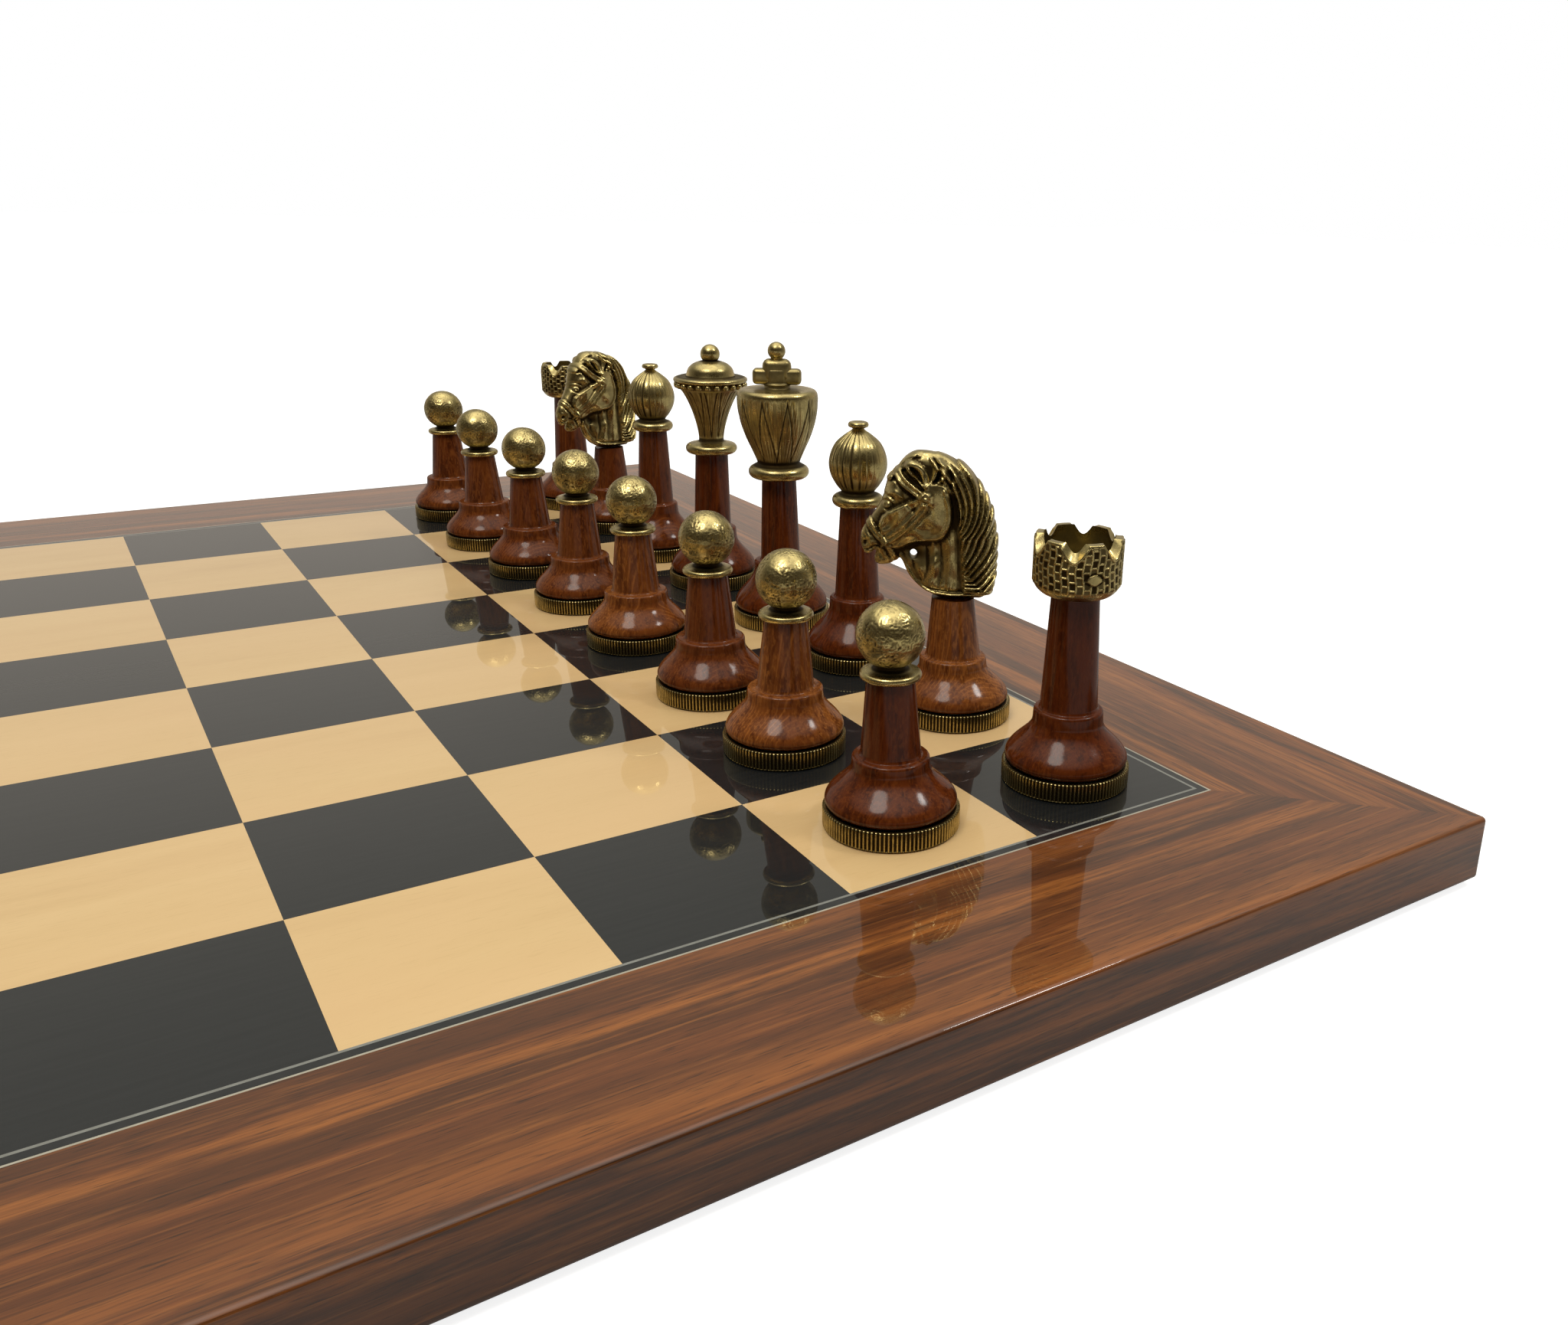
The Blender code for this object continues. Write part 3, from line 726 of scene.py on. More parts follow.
KNIGHT_FACE = [
    # brow, lids and the hollows of the face
    ([(17.4, 63.2), (15.4, 63.9), (13.2, 62.7)], 1.0, 0.6),
    ([(19.1, 61.4), (17.5, 62.2), (15.8, 61.1)], 0.45, 0.5),
    ([(18.9, 59.1), (17.4, 58.7), (16.0, 59.6)], 0.45, 0.35),
    ([(19.4, 62.4), (17.4, 63.0), (15.4, 61.8)], 0.4, -0.4),
    ([(15.0, 58.4), (16.4, 56.0), (18.6, 54.2)], 0.9, -0.4),
    ([(17.6, 57.6), (18.8, 55.4), (20.4, 54.0)], 0.6, 0.35),
    ([(12.6, 61.4), (10.9, 60.2), (9.9, 58.4)], 0.8, -0.5),
    # cheek
    ([(2.4, 65.2), (1.1, 60.4), (1.3, 56.0), (3.8, 52.4), (9.2, 51.2), (13.6, 49.3)], 0.75, 0.6),
    ([(9.6, 54.6), (7.4, 54.0), (5.4, 55.0)], 1.0, -0.25),
    # mouth and nostril
    ([(24.4, 47.3), (22.6, 47.9), (20.9, 48.7), (19.4, 48.3)], 0.4, -1.0),
    ([(24.2, 52.0), (23.0, 50.6), (22.6, 49.2)], 0.4, -0.5),
    ([(21.2, 46.2), (20.2, 44.4)], 0.35, -0.5),
    ([(19.8, 46.6), (18.6, 44.6)], 0.35, -0.5),
    # folds of the neck
    ([(5.4, 50.4), (5.0, 44.0), (6.4, 38.6)], 1.0, 0.7),
    ([(7.2, 49.4), (6.9, 44.0), (8.0, 39.4)], 0.7, -0.5),
    ([(3.4, 51.0), (3.1, 44.0), (3.9, 38.2)], 0.7, -0.4),
    ([(1.2, 51.6), (0.9, 44.0), (1.5, 37.6)], 1.0, 0.4),
    ([(10.9, 44.6), (10.4, 42.4), (8.6, 39.4)], 1.2, -0.7),
]


def knight_relief(forward, height, depth):
    relief = Relief(forward, height)
    locks(relief, depth)
    cheek = [(2.6, 66.6), (6.4, 66.8), (9.5, 63.0), (19.0, 57.0), (18.5, 49.5), (14.0, 48.6), (9.0, 50.5)]
    relief.patch(cheek + [(3.4, 51.6), (0.8, 55.6), (0.3, 60.0), (1.0, 64.4)], 1.7, 0.9)
    for points, half_width, rise in KNIGHT_TUFTS + KNIGHT_FACE:
        relief.ridge(points, half_width, rise)
    # Ear
    ear = [(12.5, 72.0), (10.7, 72.5), (8.1, 71.2), (6.5, 68.9), (6.5, 66.6), (7.8, 65.6)]
    relief.patch(ear + [(9.3, 67.5), (11.3, 68.9), (12.5, 70.7)], 1.7, 0.7)
    relief.ridge([(11.3, 70.9), (9.6, 69.2), (8.0, 66.9)], 0.7, -2.0)
    # Eye
    relief.dome(17.5, 60.4, 1.7, -0.8, 0.8, 30)
    relief.dome(17.6, 60.4, 1.1, 1.3, 0.9)
    relief.dome(17.9, 60.4, 0.4, -0.6)
    # Muzzle
    relief.dome(23.2, 50.0, 1.9, 0.6)
    relief.dome(23.8, 49.6, 0.65, -1.4, 1.5, 20)
    relief.dome(20.2, 44.9, 1.4, 0.5)
    # Harness: each strap has a line pressed along its middle
    for points, half_width, rise in (
        ([(14.6, 69.0), (13.0, 67.0), (10.8, 65.2), (9.0, 64.0)], 1.3, 1.4),
        ([(7.7, 60.4), (10.4, 57.4), (14.0, 53.6), (17.4, 50.8)], 1.25, 1.4),
        ([(23.4, 56.4), (21.8, 54.0), (20.0, 51.6), (18.5, 50.2)], 1.0, 1.2),
        ([(17.6, 48.8), (16.6, 47.0), (15.6, 45.2)], 0.85, 1.1),
    ):
        relief.strap(points, half_width, rise)
        relief.ridge(points, 0.35, -0.55, False)
    across, up = ROSETTE
    relief.dome(across, up, 2.1, 0.9)
    petals = np.arctan2(relief.z - up, relief.x - across)
    gap = np.hypot(relief.x - across, relief.z - up)
    relief.field -= 0.45 * np.exp(-(((gap - 0.9) / 0.35) ** 2))
    relief.field -= 0.3 * (0.5 - 0.5 * np.cos(5 * petals)) * np.exp(-(((gap - 1.9) / 0.6) ** 2))
    relief.dome(18.3, 49.7, 1.25, 1.0)
    for side in (-1, 1):
        relief.ridge([(18.3 - side, 48.7), (18.3 + side, 50.7)], 0.35, 0.6, False)
    # The raised line round the foot of the neck
    rim = [(14.2, 46.4), (13.0, 43.6), (11.2, 40.2), (8.2, 37.4), (4.4, 36.5), (-3.0, 36.4), (-12.0, 36.6)]
    relief.strap(rim, 0.5, 0.9, 0.4)
    return relief.field


def width_field(forward, height):
    """Half thickness, blended between the places in KNIGHT_WIDTHS."""
    total = np.zeros(forward.shape)
    weight = np.zeros(forward.shape)
    for x, z, width in KNIGHT_WIDTHS:
        near = 1 / ((forward - x) ** 2 + (height - z) ** 2 + 1.5) ** 1.6
        total += near * width
        weight += near
    return total / weight


def blurred(field, reach):
    """A box blur, run twice, over reach cells each way."""
    for _ in range(2):
        for axis in (0, 1):
            shifted = [np.roll(field, shift, axis) for shift in range(-reach, reach + 1)]
            field = sum(shifted) / len(shifted)
    return field


def surface_net(field, origin, step):
    """The surface where a field on a grid crosses zero, as points and quads, facing where it is positive."""
    inside = field < 0
    cells = tuple(n - 1 for n in field.shape)
    corners = [(i, j, k) for i in (0, 1) for j in (0, 1) for k in (0, 1)]

    def corner(values, offset):
        return values[tuple(slice(o, o + n) for o, n in zip(offset, cells))]

    count = sum(corner(inside, offset).astype(np.int8) for offset in corners)
    crossed = (count > 0) & (count < 8)
    total = np.zeros((*cells, 3))
    hits = np.zeros(cells)
    for axis in range(3):
        for offset in corners:
            if offset[axis]:
                continue
            ahead = tuple(o + (i == axis) for i, o in enumerate(offset))
            a, b = corner(field, offset), corner(field, ahead)
            cut = (a < 0) != (b < 0)
            share = np.where(cut, a / np.where(cut, a - b, 1), 0)
            for i in range(3):
                total[..., i] += np.where(cut, offset[i] + (share if i == axis else 0), 0)
            hits += cut
    places = np.argwhere(crossed)
    points = (places + total[crossed] / hits[crossed][:, None]) * step + origin
    number = np.full(cells, -1)
    number[crossed] = np.arange(len(places))
    quads = []
    for axis in range(3):
        u, v = (axis + 1) % 3, (axis + 2) % 3
        size = list(field.shape)
        size[axis] -= 1
        low = tuple(slice(0, n) if i == axis else slice(1, n - 1) for i, n in enumerate(size))
        high = tuple(slice(1, n + 1) if i == axis else slice(1, n - 1) for i, n in enumerate(size))
        a, b = inside[low], inside[high]
        for outward, flips in ((a & ~b, False), (b & ~a, True)):
            where = np.argwhere(outward)
            where[:, u] += 1
            where[:, v] += 1
            ring = []
            for du, dv in ((-1, -1), (0, -1), (0, 0), (-1, 0)):
                place = where.copy()
                place[:, u] += du
                place[:, v] += dv
                ring.append(number[tuple(place.T)])
            ring = np.stack(ring, axis=-1)
            quads.append(ring[:, ::-1] if flips else ring)
    return points, np.vstack(quads)


def knight_head():
    step = KNIGHT_VOXEL
    forward = np.arange(-14.0, 28.0, step)
    height = np.arange(32.5, 77.5, step)
    side = np.arange(0.0, 9.5, step)
    x, z = np.meshgrid(forward, height, indexing="ij")
    depth = signed_distance(knight_silhouette(), x, z)
    width = width_field(x, z)
    relief = knight_relief(x, z, depth)
    in_mane = smooth_step(1.0 - x, 0.0, 3.0)
    full = np.maximum(smooth_step(depth, 0.0, 2.5), 0.6 * in_mane)
    relief *= smooth_step(depth, -2.5, 0.8) * (0.4 + 0.6 * full)
    # A small opening between the chin strap and the neck
    hole = np.hypot(x - 10.7, (z - 46.6) / 1.3) - 1.0
    across = np.maximum(KNIGHT_ROUND - depth, 0.0)[:, None, :] ** KNIGHT_POWER
    lateral = (side[None, :, None] * (KNIGHT_ROUND / width)[:, None, :]) ** KNIGHT_POWER
    solid = (across + lateral) ** (1 / KNIGHT_POWER) - KNIGHT_ROUND - relief[:, None, :]
    solid = np.maximum(solid, -hole[:, None, :])
    seat = HEAD_FOOT["knight"] - z
    solid = np.maximum(solid, seat[:, None, :])
    whole = np.concatenate([solid[:, :0:-1], solid], axis=1)
    origin = np.array([forward[0], -side[-1], height[0]])
    points, quads = surface_net(whole, origin, step)
    cavity = blurred(relief, 4) - relief
    i = np.clip(((points[:, 0] - forward[0]) / step).round().astype(int), 0, len(forward) - 1)
    k = np.clip(((points[:, 2] - height[0]) / step).round().astype(int), 0, len(height) - 1)
    # Painted shade: a dark patch under the jaw, where shade falls
    shade_under_jaw = np.exp(-(((points[:, 0] - 9.5) / 4.0) ** 2 + ((points[:, 2] - 47.0) / 2.4) ** 2))
    patina_and_shade = smooth_step(cavity[i, k], -0.05, 0.6) + 0.8 * shade_under_jaw
    return Shape().add(points, quads.tolist(), patina_and_shade)


HEADS = {
    "pawn": pawn_head,
    "rook": rook_head,
    "knight": knight_head,
    "bishop": bishop_head,
    "queen": queen_head,
    "king": king_head,
}


# Materials


class NodeTree:
    """Short ways to add and link shader nodes in one tree."""

    def __init__(self, tree):
        self.tree = tree

    def add(self, kind, inputs=None, **settings):
        node = self.tree.nodes.new(kind)
        for key, value in settings.items():
            setattr(node, key, value)
        for key, value in (inputs or {}).items():
            self.put(value, node.inputs[key])
        return node

    def put(self, value, socket):
        if isinstance(value, bpy.types.NodeSocket):
            self.tree.links.new(value, socket)
        else:
            socket.default_value = value

    def ramp(self, factor, stops):
        node = self.add("ShaderNodeValToRGB", {"Fac": factor})
        elements = node.color_ramp.elements
        while len(elements) > 1:
            elements.remove(elements[-1])
        for i, (place, colour) in enumerate(stops):
            element = elements[0] if i == 0 else elements.new(place)
            element.position = place
            element.color = (*colour, 1.0)
        return node.outputs["Color"]

    def level(self, factor, from_low, from_high, to_low=0.0, to_high=1.0):
        inputs = {"Value": factor, "From Min": from_low, "From Max": from_high}
        inputs.update({"To Min": to_low, "To Max": to_high})
        return self.add("ShaderNodeMapRange", inputs, clamp=True).outputs["Result"]

    def math(self, operation, a, b):
        return self.add("ShaderNodeMath", {0: a, 1: b}, operation=operation).outputs["Value"]

    def mix(self, factor, a, b, blend="MIX"):
        node = self.add("ShaderNodeMix", data_type="RGBA", blend_type=blend)
        self.put(factor, node.inputs["Factor"])
        for value, socket in ((a, node.inputs["A"]), (b, node.inputs["B"])):
            self.put(value if isinstance(value, bpy.types.NodeSocket) else (*value, 1.0), socket)
        return node.outputs["Result"]


class Nodes(NodeTree):
    """The nodes of a new material, and its shader."""

    def __init__(self, name):
        self.material = bpy.data.materials.new(name)
        self.material.use_nodes = True
        super().__init__(self.material.node_tree)
        self.shader = self.tree.nodes["Principled BSDF"]

    def set(self, **values):
        for key, value in values.items():
            self.put(value, self.shader.inputs[key.replace("_", " ")])

    def stretched(self, scale=(1.0, 1.0, 1.0), turn=0.0):
        """The piece's own coordinates in metres, turned about Z and scaled along each axis."""
        place = self.add("ShaderNodeTexCoord").outputs["Object"]
        inputs = {"Vector": place, "Rotation": (0.0, 0.0, turn)}
        inputs = {"Vector": self.add("ShaderNodeMapping", inputs).outputs["Vector"], "Scale": scale}
        return self.add("ShaderNodeMapping", inputs).outputs["Vector"]

    def noise(self, vector, scale, detail=3.0, roughness=0.5, distortion=0.0):
        inputs = {"Vector": vector, "Scale": scale, "Detail": detail}
        inputs.update({"Roughness": roughness, "Distortion": distortion})
        return self.add("ShaderNodeTexNoise", inputs).outputs["Fac"]

    def bump(self, height, strength, distance, layer="Normal"):
        inputs = {"Height": height, "Strength": strength, "Distance": distance}
        self.set(**{layer: self.add("ShaderNodeBump", inputs).outputs["Normal"]})


def lacquered(nodes, colour):
    """A wood surface under a mirror-smooth clear coat."""
    nodes.set(Base_Color=colour, Roughness=0.4, IOR=1.5, Coat_Weight=1.0)
    nodes.set(Coat_Roughness=0.015, Coat_IOR=1.5, Specular_IOR_Level=0.1)
    return nodes.material


def maple(name, tint):
    """Pale close-grained veneer with fine short flecks along X."""
    nodes = Nodes(name)
    broad = nodes.noise(nodes.stretched((8.0, 60.0, 1.0)), 1.0, 3.0, 0.6, 0.4)
    flecks = nodes.noise(nodes.stretched((150.0, 2200.0, 1.0)), 1.0, 3.0, 0.65)
    cloud = nodes.noise(nodes.stretched((14.0, 18.0, 1.0)), 1.0, 2.0)
    stops = [(0.3, (0.69, 0.485, 0.235)), (0.55, (0.66, 0.455, 0.215)), (0.8, (0.60, 0.40, 0.185))]
    base = nodes.ramp(broad, stops)
    fleck = nodes.level(flecks, 0.56, 0.74, 0.0, 0.30)
    colour = nodes.mix(fleck, base, (0.44, 0.27, 0.11))
    colour = nodes.mix(nodes.level(cloud, 0.35, 0.65, 0.0, 0.5), colour, tint)
    return lacquered(nodes, colour)


def ebonised(name):
    """Near-black dyed veneer, a little lighter along the grain."""
    nodes = Nodes(name)
    grain = nodes.noise(nodes.stretched((40.0, 700.0, 1.0)), 1.0, 4.0, 0.6)
    colour = nodes.ramp(grain, [(0.3, (0.008, 0.009, 0.010)), (0.7, (0.012, 0.013, 0.014))])
    return lacquered(nodes, colour)


def stringing_wood(name, colour, dark):
    nodes = Nodes(name)
    grain = nodes.noise(nodes.stretched((300.0, 300.0, 10.0)), 1.0, 3.0)
    return lacquered(nodes, nodes.ramp(grain, [(0.35, colour), (0.75, dark)]))


# The rails' veneer: where each band's middle is, as a share of the way from the inlay over the edge to the
# bottom, and its colour
ROSEWOOD_BANDS = [
    (0.00, (0.165, 0.050, 0.012)),
    (0.05, (0.225, 0.074, 0.017)),
    (0.10, (0.082, 0.027, 0.008)),
    (0.17, (0.056, 0.020, 0.007)),
    (0.22, (0.135, 0.042, 0.011)),
    (0.27, (0.320, 0.108, 0.022)),
    (0.32, (0.120, 0.038, 0.010)),
    (0.37, (0.082, 0.027, 0.008)),
    (0.45, (0.175, 0.054, 0.014)),
    (0.53, (0.105, 0.033, 0.010)),
    (0.60, (0.165, 0.054, 0.014)),
    (0.69, (0.270, 0.090, 0.020)),
    (0.74, (0.185, 0.056, 0.013)),
    (0.79, (0.052, 0.018, 0.006)),
    (0.85, (0.220, 0.068, 0.014)),
    (0.91, (0.058, 0.020, 0.007)),
    (0.96, (0.125, 0.040, 0.010)),
    (1.00, (0.065, 0.023, 0.008)),
]

# What is laid over the bands: the grain's fineness along and across, detail, roughness and shift; its levels,
# from and to; and its colour
ROSEWOOD_LAYERS = [
    ((5.0, 60.0, 2.0, 0.5, 4.0), (0.4, 0.7, 0.0, 0.4), (0.150, 0.047, 0.013)),
    ((11.0, 330.0, 5.0, 0.7, 11.0), (0.5, 0.64, 0.0, 0.6), (0.062, 0.021, 0.008)),
    ((16.0, 1100.0, 3.0, 0.6, 2.0), (0.52, 0.70, 0.0, 0.5), (0.048, 0.017, 0.007)),
    ((20.0, 600.0, 4.0, 0.65, 8.0), (0.53, 0.68, 0.0, 0.45), (0.350, 0.125, 0.028)),
    ((120.0, 2400.0, 2.0, 0.6, 6.0), (0.57, 0.70, 0.0, 0.65), (0.020, 0.010, 0.006)),
]
GRAIN_SLANT = 0.037  # how far the grain strays outward for each metre along the rail
GRAIN_MIDDLE = 0.08  # where along the rail it has not strayed


def rosewood(name, quarter):
    """Rosewood banded along the rail, with its bands carried over the edge and down the side."""
    nodes = Nodes(name)
    turn = -quarter * math.pi / 2
    place = nodes.add("ShaderNodeSeparateXYZ", {0: nodes.stretched(turn=turn)}).outputs
    out = nodes.math("MULTIPLY", place["Y"], -1.0)
    down = nodes.math("SUBTRACT", BOARD_TOP, place["Z"])
    across = nodes.math("ADD", nodes.math("SUBTRACT", out, FIELD_HALF), down)
    width = BOARD_HALF - FIELD_HALF + BOARD_TOP - EDGE_BOTTOM
    unrolled = {"X": place["X"], "Y": across, "Z": 7.3 * quarter}
    flat = nodes.add("ShaderNodeCombineXYZ", unrolled).outputs["Vector"]

    def grain(along, over, detail=3.0, roughness=0.6, shift=0.0):
        inputs = {"Vector": flat, "Scale": (along, over, 1.0), "Location": (shift, shift, shift)}
        scaled = nodes.add("ShaderNodeMapping", inputs).outputs["Vector"]
        return nodes.noise(scaled, 1.0, detail, roughness, 0.3)

    drift = nodes.level(grain(2.2, 14.0, 2.0), 0.2, 0.8, -0.045, 0.045)
    feather = nodes.level(grain(13.0, 230.0, 5.0, 0.7), 0.2, 0.8, -0.085, 0.085)
    strayed = nodes.math("MULTIPLY", nodes.math("SUBTRACT", place["X"], GRAIN_MIDDLE), GRAIN_SLANT)
    share = nodes.math("DIVIDE", nodes.math("SUBTRACT", across, strayed), width)
    share = nodes.math("ADD", nodes.math("ADD", share, drift), feather)
    colour = nodes.ramp(share, ROSEWOOD_BANDS)
    for fineness, levels, tint in ROSEWOOD_LAYERS:
        colour = nodes.mix(nodes.level(grain(*fineness), *levels), colour, tint)
    return lacquered(nodes, colour)


def turned_wood(name, base, pale, dark):
    """Wood turned from a block with its grain upright, so the bell shows the rings as ovals."""
    nodes = Nodes(name)
    place = nodes.stretched((1.0, 1.0, 0.12), 1.55)
    wobble = nodes.noise(place, 70.0, 2.0, 0.5)
    inputs = {"Vector": place, "Scale": 300.0, "Distortion": 3.5, "Detail": 2.0, "Detail Scale": 0.35}
    rings = nodes.add("ShaderNodeTexWave", inputs, wave_type="BANDS", bands_direction="X").outputs["Fac"]
    tone = nodes.noise(nodes.stretched((1.0, 1.0, 0.3)), 28.0, 2.0, 0.5)
    fibres = nodes.noise(nodes.stretched((1.0, 1.0, 0.08)), 1700.0, 3.0, 0.6)
    streaks = nodes.noise(nodes.stretched((1.0, 1.0, 0.16)), 420.0, 4.0, 0.7)
    flecks = nodes.noise(nodes.stretched((1.0, 1.0, 0.32)), 1500.0, 2.0, 0.55)
    colour = nodes.mix(nodes.level(tone, 0.38, 0.62, 0.0, 0.5), base, pale)
    line = nodes.math("MULTIPLY", nodes.level(rings, 0.75, 0.97), nodes.level(wobble, 0.44, 0.58, 0.0, 0.55))
    colour = nodes.mix(line, colour, tuple(min(1.0, part * 1.4) for part in pale))
    colour = nodes.mix(nodes.level(streaks, 0.47, 0.62, 0.0, 0.8), colour, dark)
    fleck = nodes.math("MULTIPLY", nodes.level(flecks, 0.52, 0.62), nodes.level(tone, 0.4, 0.56, 0.2, 0.7))
    colour = nodes.mix(fleck, colour, tuple(min(1.0, part * 1.2) for part in pale))
    colour = nodes.mix(nodes.level(fibres, 0.56, 0.72, 0.0, 0.45), colour, tuple(part * 0.4 for part in dark))
    nodes.set(Base_Color=colour, Roughness=0.45, IOR=1.45, Coat_Weight=0.5)
    nodes.set(Coat_Roughness=0.13, Coat_IOR=1.45, Specular_IOR_Level=0.0)
    nodes.bump(streaks, 0.12, 0.0003)
    nodes.bump(flecks, 0.05, 0.0002, "Coat Normal")
    return nodes.material


def cast_brass(name, bright, olive, patina_and_shade_colour):
    """Antiqued metal: polished high places, olive flats, dark patina in the cuts, and painted shade where the
    attribute marks it.
    """
    nodes = Nodes(name)
    # cut reads the painted darkness: patina in the hollows and painted shade; grit below adds fine dirt
    cut = nodes.add("ShaderNodeAttribute", attribute_name=PATINA_AND_SHADE).outputs["Fac"]
    place = nodes.stretched()
    cloud = nodes.noise(place, 260.0, 4.0, 0.6)
    grit = nodes.noise(place, 2400.0, 3.0, 0.6)
    brushed = nodes.noise(nodes.stretched((1.0, 1.0, 0.12)), 2200.0, 2.0, 0.6)
    metal = nodes.mix(nodes.level(cloud, 0.35, 0.68), bright, olive)
    speckle = nodes.math("MULTIPLY", nodes.level(grit, 0.5, 0.75), 0.4)
    dirt_and_shade = nodes.math("MAXIMUM", nodes.level(cut, 0.05, 0.85), speckle)
    colour = nodes.mix(dirt_and_shade, metal, patina_and_shade_colour)
    rough = nodes.math("ADD", nodes.level(cloud, 0.3, 0.7, 0.20, 0.32), nodes.math("MULTIPLY", dirt_and_shade, 0.32))
    nodes.set(Base_Color=colour, Metallic=1.0, Roughness=rough)
    nodes.bump(nodes.math("ADD", nodes.math("MULTIPLY", grit, 0.6), brushed), 0.35, 0.00006)
    return nodes.material


def felt(name, colour):
    nodes = Nodes(name)
    fuzz = nodes.noise(nodes.stretched(), 2500.0, 4.0, 0.7)
    dark = tuple(part * 0.45 for part in colour)
    nodes.set(Base_Color=nodes.ramp(fuzz, [(0.3, dark), (0.7, colour)]), Roughness=0.95, Sheen_Weight=0.4)
    nodes.bump(fuzz, 0.6, 0.0003)
    return nodes.material


def fibreboard(name):
    nodes = Nodes(name)
    flakes = nodes.noise(nodes.stretched(), 900.0, 3.0, 0.7)
    stops = [(0.3, (0.33, 0.22, 0.12)), (0.7, (0.5, 0.37, 0.22))]
    nodes.set(Base_Color=nodes.ramp(flakes, stops), Roughness=0.85)
    return nodes.material


# Putting pieces in the scene


def paint(mesh, material):
    mesh.materials.clear()
    mesh.materials.append(material)


def put_piece(name, mesh, material, body, node):
    """Adds a piece that moves with its body and is shown in place of a CAD node."""
    piece = bpy.data.objects.new(name, mesh)
    paint(mesh, material)
    bpy.context.scene.collection.objects.link(piece)
    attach(piece, body)
    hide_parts(node)


# Board


def tile_mesh(name, parity):
    """The squares of one colour: 32 thin tiles whose edges meet those of the other colour's tiles."""
    points, faces = [], []
    for i in range(8):
        for j in range(8):
            if (i + j) % 2 != parity:
                continue
            x0, y0 = i * SQUARE - FIELD_HALF, j * SQUARE - FIELD_HALF
            start = len(points)
            corners = [(x0, y0), (x0 + SQUARE, y0), (x0 + SQUARE, y0 + SQUARE), (x0, y0 + SQUARE)]
            points += [(x, y, z) for z in (INLAY_BOTTOM, BOARD_TOP) for x, y in corners]
            sides = [[k, (k + 1) % 4, (k + 1) % 4 + 4, k + 4] for k in range(4)]
            for face in [[3, 2, 1, 0], [4, 5, 6, 7], *sides]:
                faces.append([corner + start for corner in face])
    return new_mesh(name, points, faces)


def band_mesh(name, inner, outer, top):
    """A square band with mitred corners, from half width inner to outer."""
    points, faces = [], []
    for half, z in ((outer, INLAY_BOTTOM), (outer, top), (inner, top), (inner, INLAY_BOTTOM)):
        points += level_square(half, z)
    for ring in range(4):
        for k in range(4):
            a, b = ring * 4 + k, ring * 4 + (k + 1) % 4
            c, d = ((ring + 1) % 4) * 4 + (k + 1) % 4, ((ring + 1) % 4) * 4 + k
            faces.append([a, b, c, d])
    return new_mesh(name, points, faces)


def rail_mesh(name, inner):
    """The rail on the -Y side: its section, rounded at the outer edges, run between two mitred ends."""
    section = [(inner, EDGE_BOTTOM), (BOARD_HALF - EDGE_ROUND - FLAT_MARGIN, EDGE_BOTTOM)]
    low, high = EDGE_BOTTOM + EDGE_ROUND, BOARD_TOP - EDGE_ROUND
    section += arc((BOARD_HALF - EDGE_ROUND, low), EDGE_ROUND, -90, 0, EDGE_STEPS).tolist()
    section += [(BOARD_HALF, low + FLAT_MARGIN), (BOARD_HALF, high - FLAT_MARGIN)]
    section += arc((BOARD_HALF - EDGE_ROUND, high), EDGE_ROUND, 0, 90, EDGE_STEPS).tolist()
    section += [(BOARD_HALF - EDGE_ROUND - FLAT_MARGIN, BOARD_TOP), (inner, BOARD_TOP)]
    # Cuts across the rail from its straight part to its mitre: how far round the corner, and how far back
    cuts = [(0.0, FLAT_MARGIN)]
    cuts += [(math.radians(45 * step / CORNER_STEPS), 0.0) for step in range(CORNER_STEPS + 1)]
    full_turn = cuts[-1][0]
    corner = BOARD_HALF - CORNER_ROUND
    points = []
    for end, turn, back in [(-1, *cut) for cut in cuts[::-1]] + [(1, *cut) for cut in cuts]:
        for out, z in section:
            radius = out - corner
            if radius > 0:
                along = corner + radius * math.sin(turn) - back
                points.append((end * along, -(corner + radius * math.cos(turn)), z))
            else:
                short = CORNER_ROUND * (1 - turn / full_turn) + back
                points.append((end * (out - short), -out, z))
    count = len(section)
    faces = []
    for row in range(2 * len(cuts) - 1):
        for k in range(count):
            a, b = row * count + k, row * count + (k + 1) % count
            faces.append([a, b, b + count, a + count])
    last = (2 * len(cuts) - 1) * count
    faces += [list(range(count)), list(range(last, last + count))]
    mesh = new_mesh(name, points, faces)
    shape = bmesh.new()
    shape.from_mesh(mesh)
    bmesh.ops.recalc_face_normals(shape, faces=shape.faces)
    shape.to_mesh(mesh)
    shape.free()
    mesh.shade_smooth()
    mesh.set_sharp_from_angle(angle=math.radians(30))
    return mesh


